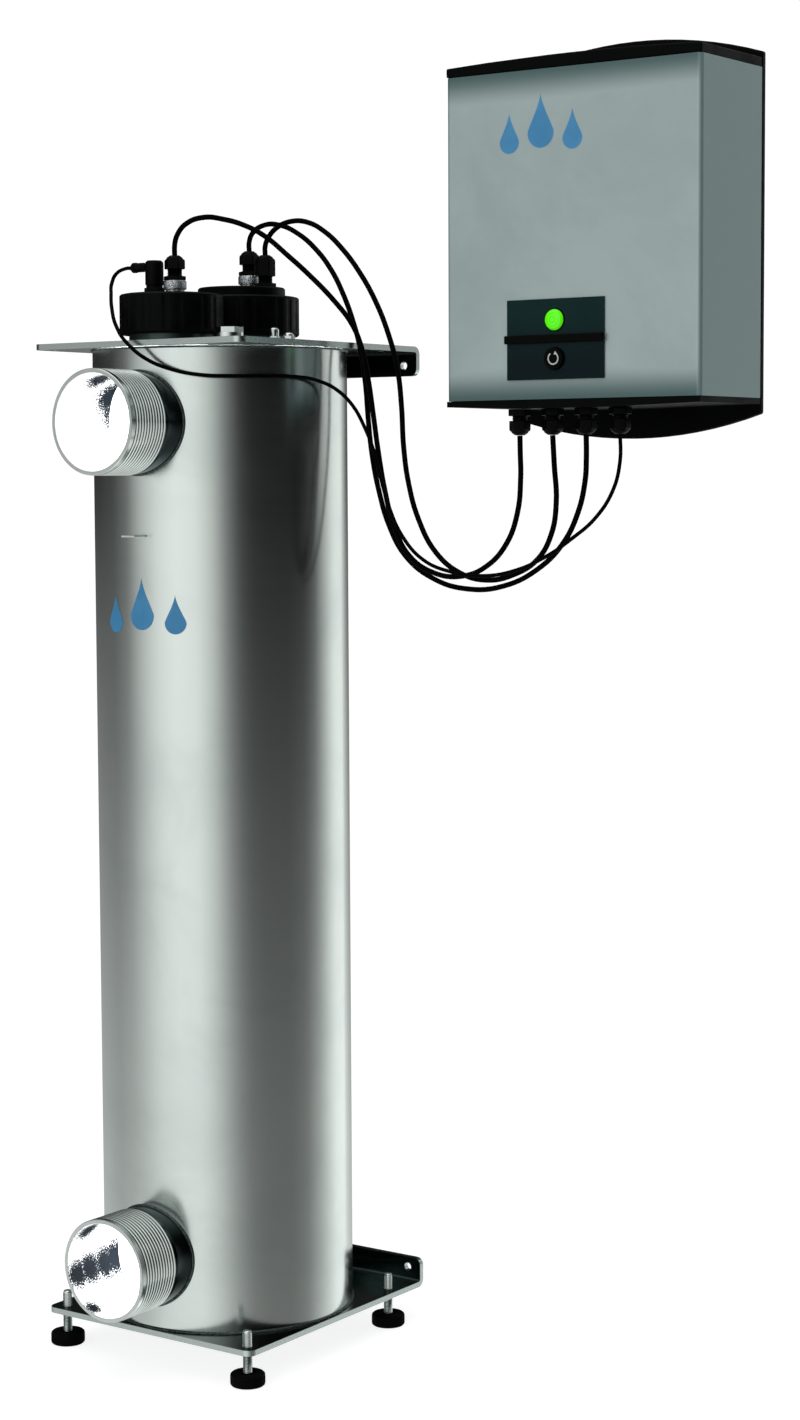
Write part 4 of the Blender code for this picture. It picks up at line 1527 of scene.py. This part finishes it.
@dataclass
class Feet(Assembly):
    """Four levelling feet: threaded studs in rubber pads."""

    pitch: float = 0.101
    axis_y: float = -0.1383
    base: float = -0.0129

    def build(self) -> None:
        """Models one foot and copies it to the four corners."""
        stud, pad = self.stud(), self.pad()
        for corner, (sx, sy) in {
            "front_left": (-1, -1), "front_right": (1, -1), "rear_left": (-1, 1), "rear_right": (1, 1),
        }.items():
            spot = (sx * self.pitch, self.axis_y + sy * self.pitch, self.base)
            for model, name, finish, slot in (
                (stud, "foot_stud", TURNED_STEEL, Slot.STEEL), (pad, "foot_pad", PAD_RUBBER, Slot.RUBBER),
            ):
                copy = linked(f"{name}_{corner}_made", model.data.copy())
                copy.location = spot
                settle(copy)
                self.hand_over(copy, finish, slot, [f"{name}_{corner}"], f"foot_{corner}")
        for model in (stud, pad):
            bpy.data.objects.remove(model)

    def stud(self) -> bpy.types.Object:
        """A threaded stud with a chamfered tip and a screwdriver slot.

        Returns:
            The stud, on its own axis.
        """
        low, high, radius, pitch = -0.0176, 0.0185, 0.0040, 0.00125
        profile: list[tuple[float, float]] = [(0, low), (radius - 0.0003, low)]
        height = low + 0.0004
        while height < high - 0.0022:
            profile += [(radius - 0.0005, height), (radius, height + pitch / 2)]
            height += pitch
        profile += [(radius - 0.0005, height), (radius - 0.0005, high - 0.0008), (radius - 0.0013, high), (0, high)]
        stud = turned("stud_model", profile, steps=32)
        groove = block("stud_groove", (-0.006, -0.0005, high - 0.0016), (0.006, 0.0005, high + 0.002))
        return cut_away(stud, groove)

    def pad(self) -> bpy.types.Object:
        """A rubber pad with rounded rims, a dished top and a finely ribbed side.

        Returns:
            The pad, on its own axis.
        """
        low, high, radius, sides = -0.0286, -0.0175, 0.0148, 72
        profile = [(0, low), (radius - 0.0030, low), (radius - 0.0012, low + 0.0004)]
        profile += [(radius - 0.0002, low + 0.0014), (radius, low + 0.0026)]
        profile += [(radius, high - 0.0026), (radius - 0.0003, high - 0.0012)]
        profile += [(radius - 0.0014, high - 0.0002), (radius - 0.0024, high), (0.0080, high)]
        profile += [(0.0072, high - 0.0008), (0.0056, high - 0.0008), (0.0050, high), (0, high)]
        pad = turned("pad_model", profile, steps=sides)
        step = math.tau / sides
        with editing(pad):
            choose_faces(
                pad,
                lambda spot, normal: math.hypot(spot.x, spot.y) > radius * 0.99
                and int((math.atan2(spot.y, spot.x) % math.tau) / step) % 2 == 0,
            )
            bpy.ops.mesh.inset(thickness=0.0002, depth=-0.0003, use_individual=True)
        return pad


@dataclass
class ControlBox(Assembly):
    """The wall box: folded cover, arched caps, back plate, panel, lamp and reset button."""

    left: float = 0.2150
    right: float = 0.4540
    front: float = -0.1057
    back: float = -0.0066
    low: float = 0.7786
    high: float = 1.0422
    sheet: float = 0.0015
    fold: float = 0.0040
    panel_x: float = 0.3215
    lens_z: float = 0.8419
    button_z: float = 0.8109

    def build(self) -> None:
        """Models and dresses the box's pieces."""
        self.cover()
        for node, width in (
            ("top_cap", 0.0012), ("bottom_cap", 0.0012), ("rear_housing", 0.0014), ("panel_bar", 0.0005),
        ):
            self.hand_over(refined(node, f"{node}_moulding", width, 3), CAP_PLASTIC, Slot.PLASTIC, [node])
        panel = refined("control_panel", "control_panel_film", 0.0003, 2)
        self.hand_over(panel, PANEL_FILM, Slot.PANEL, ["control_panel"])
        self.lens()
        self.button()
        self.insides()

    def cover(self) -> None:
        """The folded sheet: front and sides in one piece, open at the top, bottom and back."""
        shell = block("folded_cover", (self.left, self.front, self.low), (self.right, self.back, self.high))
        with editing(shell):
            choose_faces(shell, lambda spot, normal: abs(normal.z) > 0.9 or normal.y > 0.9)
            bpy.ops.mesh.delete(type="FACE")
            bpy.ops.mesh.select_mode(type="EDGE")
            choose_edges(
                shell,
                lambda a, b: abs(a.y - self.front) < 1e-5 and abs(b.y - self.front) < 1e-5 and abs(a.z - b.z) > 0.1,
            )
            bpy.ops.mesh.bevel(offset=self.fold, segments=8, affect="EDGES")
        thick = shell.modifiers.new("sheet", "SOLIDIFY")
        thick.thickness = self.sheet
        thick.offset = -1.0
        apply_modifiers(shell)
        for z in (self.lens_z, self.button_z):
            bored(shell, 0.0092, (self.panel_x, self.front, z), 0.02, Facing.FORWARD)
        bevelled(shell, 0.0003, 2, 50.0)
        # the tint is the paint; shade and side are painted shade at the edges and on the outer side
        finish = PaintedSheet(
            "box_paint", tint=(0.57, 0.67, 0.68), shade=(0.10, 0.175, 0.175), side=(0.33, 0.455, 0.46),
            low=self.low, high=self.high, side_x=self.right,
        )
        self.hand_over(shell, finish, Slot.PAINT, ["front_shell"])

    def lens(self) -> None:
        """The domed indicator lens in its thin black bezel."""
        face = self.front - GAP
        at = (self.panel_x, face, self.lens_z)
        dome = turned(
            "indicator_lens",
            [(0, -0.010), (0.0084, -0.010), (0.0084, 0.0026), (0.0080, 0.0036), (0.0068, 0.0046), (0.0045, 0.0053),
             (0.0022, 0.0055), (0, 0.0055)],
            at, Facing.FORWARD, steps=56,
        )
        glow = Glowing("lens_green", (0.105, 0.95, 0.0), at, 0.60)
        self.hand_over(dome, glow, Slot.LENS, ["lamp_lens"])
        bezel = turned(
            "indicator_bezel",
            [(0.0085, -0.004), (0.0092, -0.004), (0.0092, 0.0016), (0.0090, 0.0021), (0.0085, 0.0021)],
            at, Facing.FORWARD, steps=56, ring=True,
        )
        self.hand_over(bezel, CAP_PLASTIC, Slot.PLASTIC)

    def button(self) -> None:
        """The reset button with its circular arrow."""
        face = self.front - GAP
        at = (self.panel_x, face, self.button_z)
        cap = turned(
            "reset_button_cap",
            [(0, -0.009), (0.0089, -0.009), (0.0089, 0.0032), (0.0086, 0.0041), (0.0080, 0.0044), (0.0074, 0.0042),
             (0.0066, 0.0040), (0, 0.0040)],
            at, Facing.FORWARD, steps=56,
        )
        self.hand_over(cap, CAP_PLASTIC, Slot.PLASTIC, ["reset_button"], "reset_button")
        y, radius, flatness = face - 0.00405, 0.0046, 0.25
        route = []
        for i in range(23):
            angle = math.radians(62 - 300 * i / 22)
            route.append((at[0] + radius * math.cos(angle), y, at[2] + radius * math.sin(angle)))
        ring = as_mesh(tube("arrow_ring", route, 0.0006))
        ring.scale = (1, flatness, 1)
        ring.location = (0, (1 - flatness) * y, 0)
        settle(ring)
        head = stacked("arrow_head", 3, [(0, 0.0019), (0.0002, 0.0019)], route[0], Facing.FORWARD)
        arrow = joined("reset_arrow_print", [ring, head])
        self.hand_over(arrow, WHITE_PRINT, Slot.PLASTIC, (), "reset_button")

    def insides(self) -> None:
        """Dresses the board and the power supply inside the box."""
        self.keep("circuit_board", BOARD)
        self.keep("power_supply", CASE_METAL)


@dataclass
class Prints(Assembly):
    """Plain water drops in blue, printed on the box and on the vessel."""

    box_front: float = -0.1057
    film: float = 0.00012
    on_box: tuple[Point, ...] = ((0.277, 0.9860, 0.0150), (0.307, 0.9920, 0.0200), (0.337, 0.9860, 0.0150))
    on_vessel: tuple[Point, ...] = ((-0.030, 0.5960, 0.0150), (0.002, 0.6020, 0.0200), (0.034, 0.5960, 0.0150))

    def build(self) -> None:
        """Lays three drops on each surface, each given by its place along the wall, height and size."""
        for i, (x, z, size) in enumerate(self.on_box):
            drop = self.drop(f"box_drop_{i + 1}", x, z, size, self.box_front - self.film)
            self.hand_over(drop, BLUE_PRINT, Slot.PAINT)
        vessel = bpy.data.objects["vessel_pipe"]
        for i, (x, z, size) in enumerate(self.on_vessel):
            drop = self.drop(f"vessel_drop_{i + 1}", x, z, size, -0.2600)
            wrap = drop.modifiers.new("wrap", "SHRINKWRAP")
            wrap.wrap_method = "PROJECT"
            wrap.use_project_y = True
            wrap.use_positive_direction = True
            wrap.use_negative_direction = False
            wrap.target = vessel
            wrap.offset = 0.00015
            apply_modifiers(drop)
            self.hand_over(drop, BLUE_PRINT, Slot.STEEL)

    def drop(self, name: str, x: float, z: float, size: float, y: float) -> bpy.types.Object:
        """A flat drop, cut into upright strips so that it can follow a round surface.

        Args:
            name: the piece's name.
            x: its middle along the wall.
            z: the middle of its round end.
            size: the radius of its round end.
            y: the plane that it starts on.

        Returns:
            The drop.
        """
        deselect()
        bpy.ops.mesh.primitive_circle_add(
            vertices=64, radius=size * 0.62, fill_type="NGON", location=(x, y, z), rotation=(math.pi / 2, 0, 0)
        )
        obj = settle(bpy.context.object)
        obj.name = name
        edited = bmesh.new()
        edited.from_mesh(obj.data)
        for vert in edited.verts:
            lift = max(0.0, (vert.co.z - z) / (size * 0.62))
            vert.co.x = x + (vert.co.x - x) * (1 - lift**1.6)
            vert.co.z += size * 0.95 * lift**1.8
        edited.to_mesh(obj.data)
        edited.free()
        with editing(obj):
            for i in range(-5, 6):
                bpy.ops.mesh.select_all(action="SELECT")
                bpy.ops.mesh.bisect(plane_co=(x + i * size * 0.11, y, z), plane_no=(1, 0, 0))
        return obj


# ---------------------------------------------------------------- studio
@dataclass
class Studio:
    """Camera, pale floor, soft lights, and a surround of screens and flags that only the object sees.

    The levels are headings in degrees, from straight in front towards the box, and the brightness there.
    """

    floor_z: float = -0.0415
    aim: tuple[float, float, float] = (35.42, -4.783, -0.268)
    eye: Point = (1.5153, -2.0033, 0.7146)
    lens: float = 69.92
    ceiling: Colour = (0.45, 0.48, 0.47)
    white: Colour = (1.05, 1.05, 1.05)
    eye_levels: tuple[tuple[float, float], ...] = (
        (-180, 0.70), (-165, 0.10), (-140, 0.03), (-101, 0.03), (-75, 0.05), (-55, 0.16), (-38, 0.62),
        (-20, 1.00), (-3, 1.16), (16, 1.06), (30, 0.72), (42, 0.24), (54, 0.03), (66, 0.0), (120, 0.0), (132, 0.06),
        (146, 0.55), (160, 1.05), (179, 1.10),
    )
    floor_levels: tuple[tuple[float, float], ...] = (
        (-180, 0.90), (-150, 0.60), (-101, 0.66), (-75, 0.58), (-40, 0.72), (-20, 0.95), (-3, 1.03),
        (16, 1.03), (34, 0.74), (48, 0.46), (62, 0.29), (76, 0.24), (100, 0.23), (118, 0.32), (135, 0.66), (158, 1.20),
        (179, 1.30),
    )

    def camera(self) -> None:
        """Places the camera: heading, tilt and roll in degrees."""
        data = bpy.data.cameras.new("studio_camera")
        data.lens = self.lens
        data.sensor_width = 36.0
        data.sensor_fit = "AUTO"
        data.clip_start, data.clip_end = 0.05, 100.0
        obj = linked("studio_camera", data)
        heading, tilt, roll = (math.radians(a) for a in self.aim)
        turn = Matrix.Rotation(heading, 4, "Z") @ Matrix.Rotation(math.pi / 2 + tilt, 4, "X")
        obj.matrix_world = Matrix.Translation(self.eye) @ turn @ Matrix.Rotation(roll, 4, "Z")
        bpy.context.scene.camera = obj

    def set_up(self) -> None:
        """Adds the floor, the surround and the lights: one softbox overhead and a glow behind each port."""
        self.floor()
        self.surround()
        softbox = self.light("overhead", "AREA", (0.1, -0.5, 2.6), 11.0)
        softbox.shape = "RECTANGLE"
        softbox.size, softbox.size_y = 2.4, 2.0
        for end, z in STUB_Z.items():
            self.light(f"{end}_port_glow", "POINT", (0.02, -0.150, z), 2.6).shadow_soft_size = 0.03

    def surround(self) -> None:
        """A studio surround: white to the eye, with soft bright screens and dark flags for what it lights.

        The screens and flags stand in a ring. One set of levels is at eye height, the other is what the
        pale floor sends back from below.
        """
        world = bpy.data.worlds.new("studio")
        world.use_nodes = True
        graph = Graph(world.node_tree)
        axes = graph.node("SeparateXYZ", {"Vector": graph.node("TexCoord").outputs["Generated"]})
        forward = graph.math("MULTIPLY", axes.outputs["Y"], -1.0)
        turn = graph.ramp(graph.math("ARCTAN2", axes.outputs["X"], forward), -math.pi, math.pi)
        down = graph.ramp(axes.outputs["Z"], 0.0, -0.30)
        up = graph.ramp(axes.outputs["Z"], 0.40, 0.85, soft=True)
        sides = graph.mix(self.ring(graph, turn, self.eye_levels), self.ring(graph, turn, self.floor_levels), down)
        lit = graph.mix(sides, self.ceiling, up)
        seen = graph.node("LightPath").outputs["Is Camera Ray"]
        graph.put(world.node_tree.nodes["Background"].inputs["Color"], graph.mix(lit, self.white, seen))
        bpy.context.scene.world = world
        bpy.context.scene.view_settings.view_transform = "Standard"

    def ring(self, graph: Graph, turn: Socket, levels: Sequence[tuple[float, float]]) -> Socket:
        """Brightness round the object.

        Args:
            graph: the surround's graph.
            turn: the heading, from 0 to 1.
            levels: headings in degrees and their brightness.

        Returns:
            The colour socket.
        """
        ramp = graph.node("ValToRGB", {"Fac": turn})
        stops = ramp.color_ramp.elements
        stops.remove(stops[1])
        for i, (heading, bright) in enumerate(levels):
            stop = stops[0] if i == 0 else stops.new((heading + 180) / 360)
            stop.position = (heading + 180) / 360
            stop.color = (bright * 0.97, bright, bright * 0.985, 1)
        return ramp.outputs["Color"]

    def floor(self) -> None:
        """A wide pale floor with a faint grain, bright to the eye and dim as a light."""
        deselect()
        bpy.ops.mesh.primitive_plane_add(size=60, location=(0, 0, self.floor_z))
        floor = bpy.context.object
        floor.name = "studio_floor"
        made = bpy.data.materials.new("studio_floor")
        made.use_nodes = True
        graph = Graph(made.node_tree)
        noise = graph.node("TexNoise", {"Vector": graph.place(), "Scale": 3.0, "Detail": 4.0})
        seen = graph.node("LightPath").outputs["Is Camera Ray"]
        inputs = made.node_tree.nodes["Principled BSDF"].inputs
        graph.put(inputs["Base Color"], graph.mix((0.40, 0.40, 0.40), (0.44, 0.44, 0.44), noise.outputs["Fac"]))
        graph.put(inputs["Emission Strength"], graph.ramp(seen, 0.0, 1.0, 0.05, 0.86))
        inputs["Emission Color"].default_value = (1, 1, 1, 1)
        inputs["Roughness"].default_value = 0.9
        inputs["Specular IOR Level"].default_value = 0.0
        floor.data.materials.append(made)
        floor.visible_glossy = False

    def light(self, name: str, kind: str, at: Point, power: float) -> bpy.types.Light:
        """Adds a light that the camera can't see.

        Args:
            name: the light's name.
            kind: AREA, which faces straight down, or POINT.
            at: its place.
            power: its power in watts.

        Returns:
            The light's data.
        """
        data = bpy.data.lights.new(name, kind)
        data.energy = power
        obj = linked(name, data)
        obj.location = at
        obj.visible_camera = False
        return data


def main() -> None:
    """Builds every sub-assembly round the CAD frame."""
    logging.basicConfig(level=logging.INFO, format="%(name)s: %(message)s")
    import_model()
    studio = Studio()
    studio.camera()
    effects = Effects()
    for assembly in (
        Leads(effects), Reactor(effects), Closures(effects), Glands(effects), Feet(effects), ControlBox(effects),
        Prints(effects),
    ):
        assembly.build()
    studio.set_up()


if __name__ == "__main__":
    main()
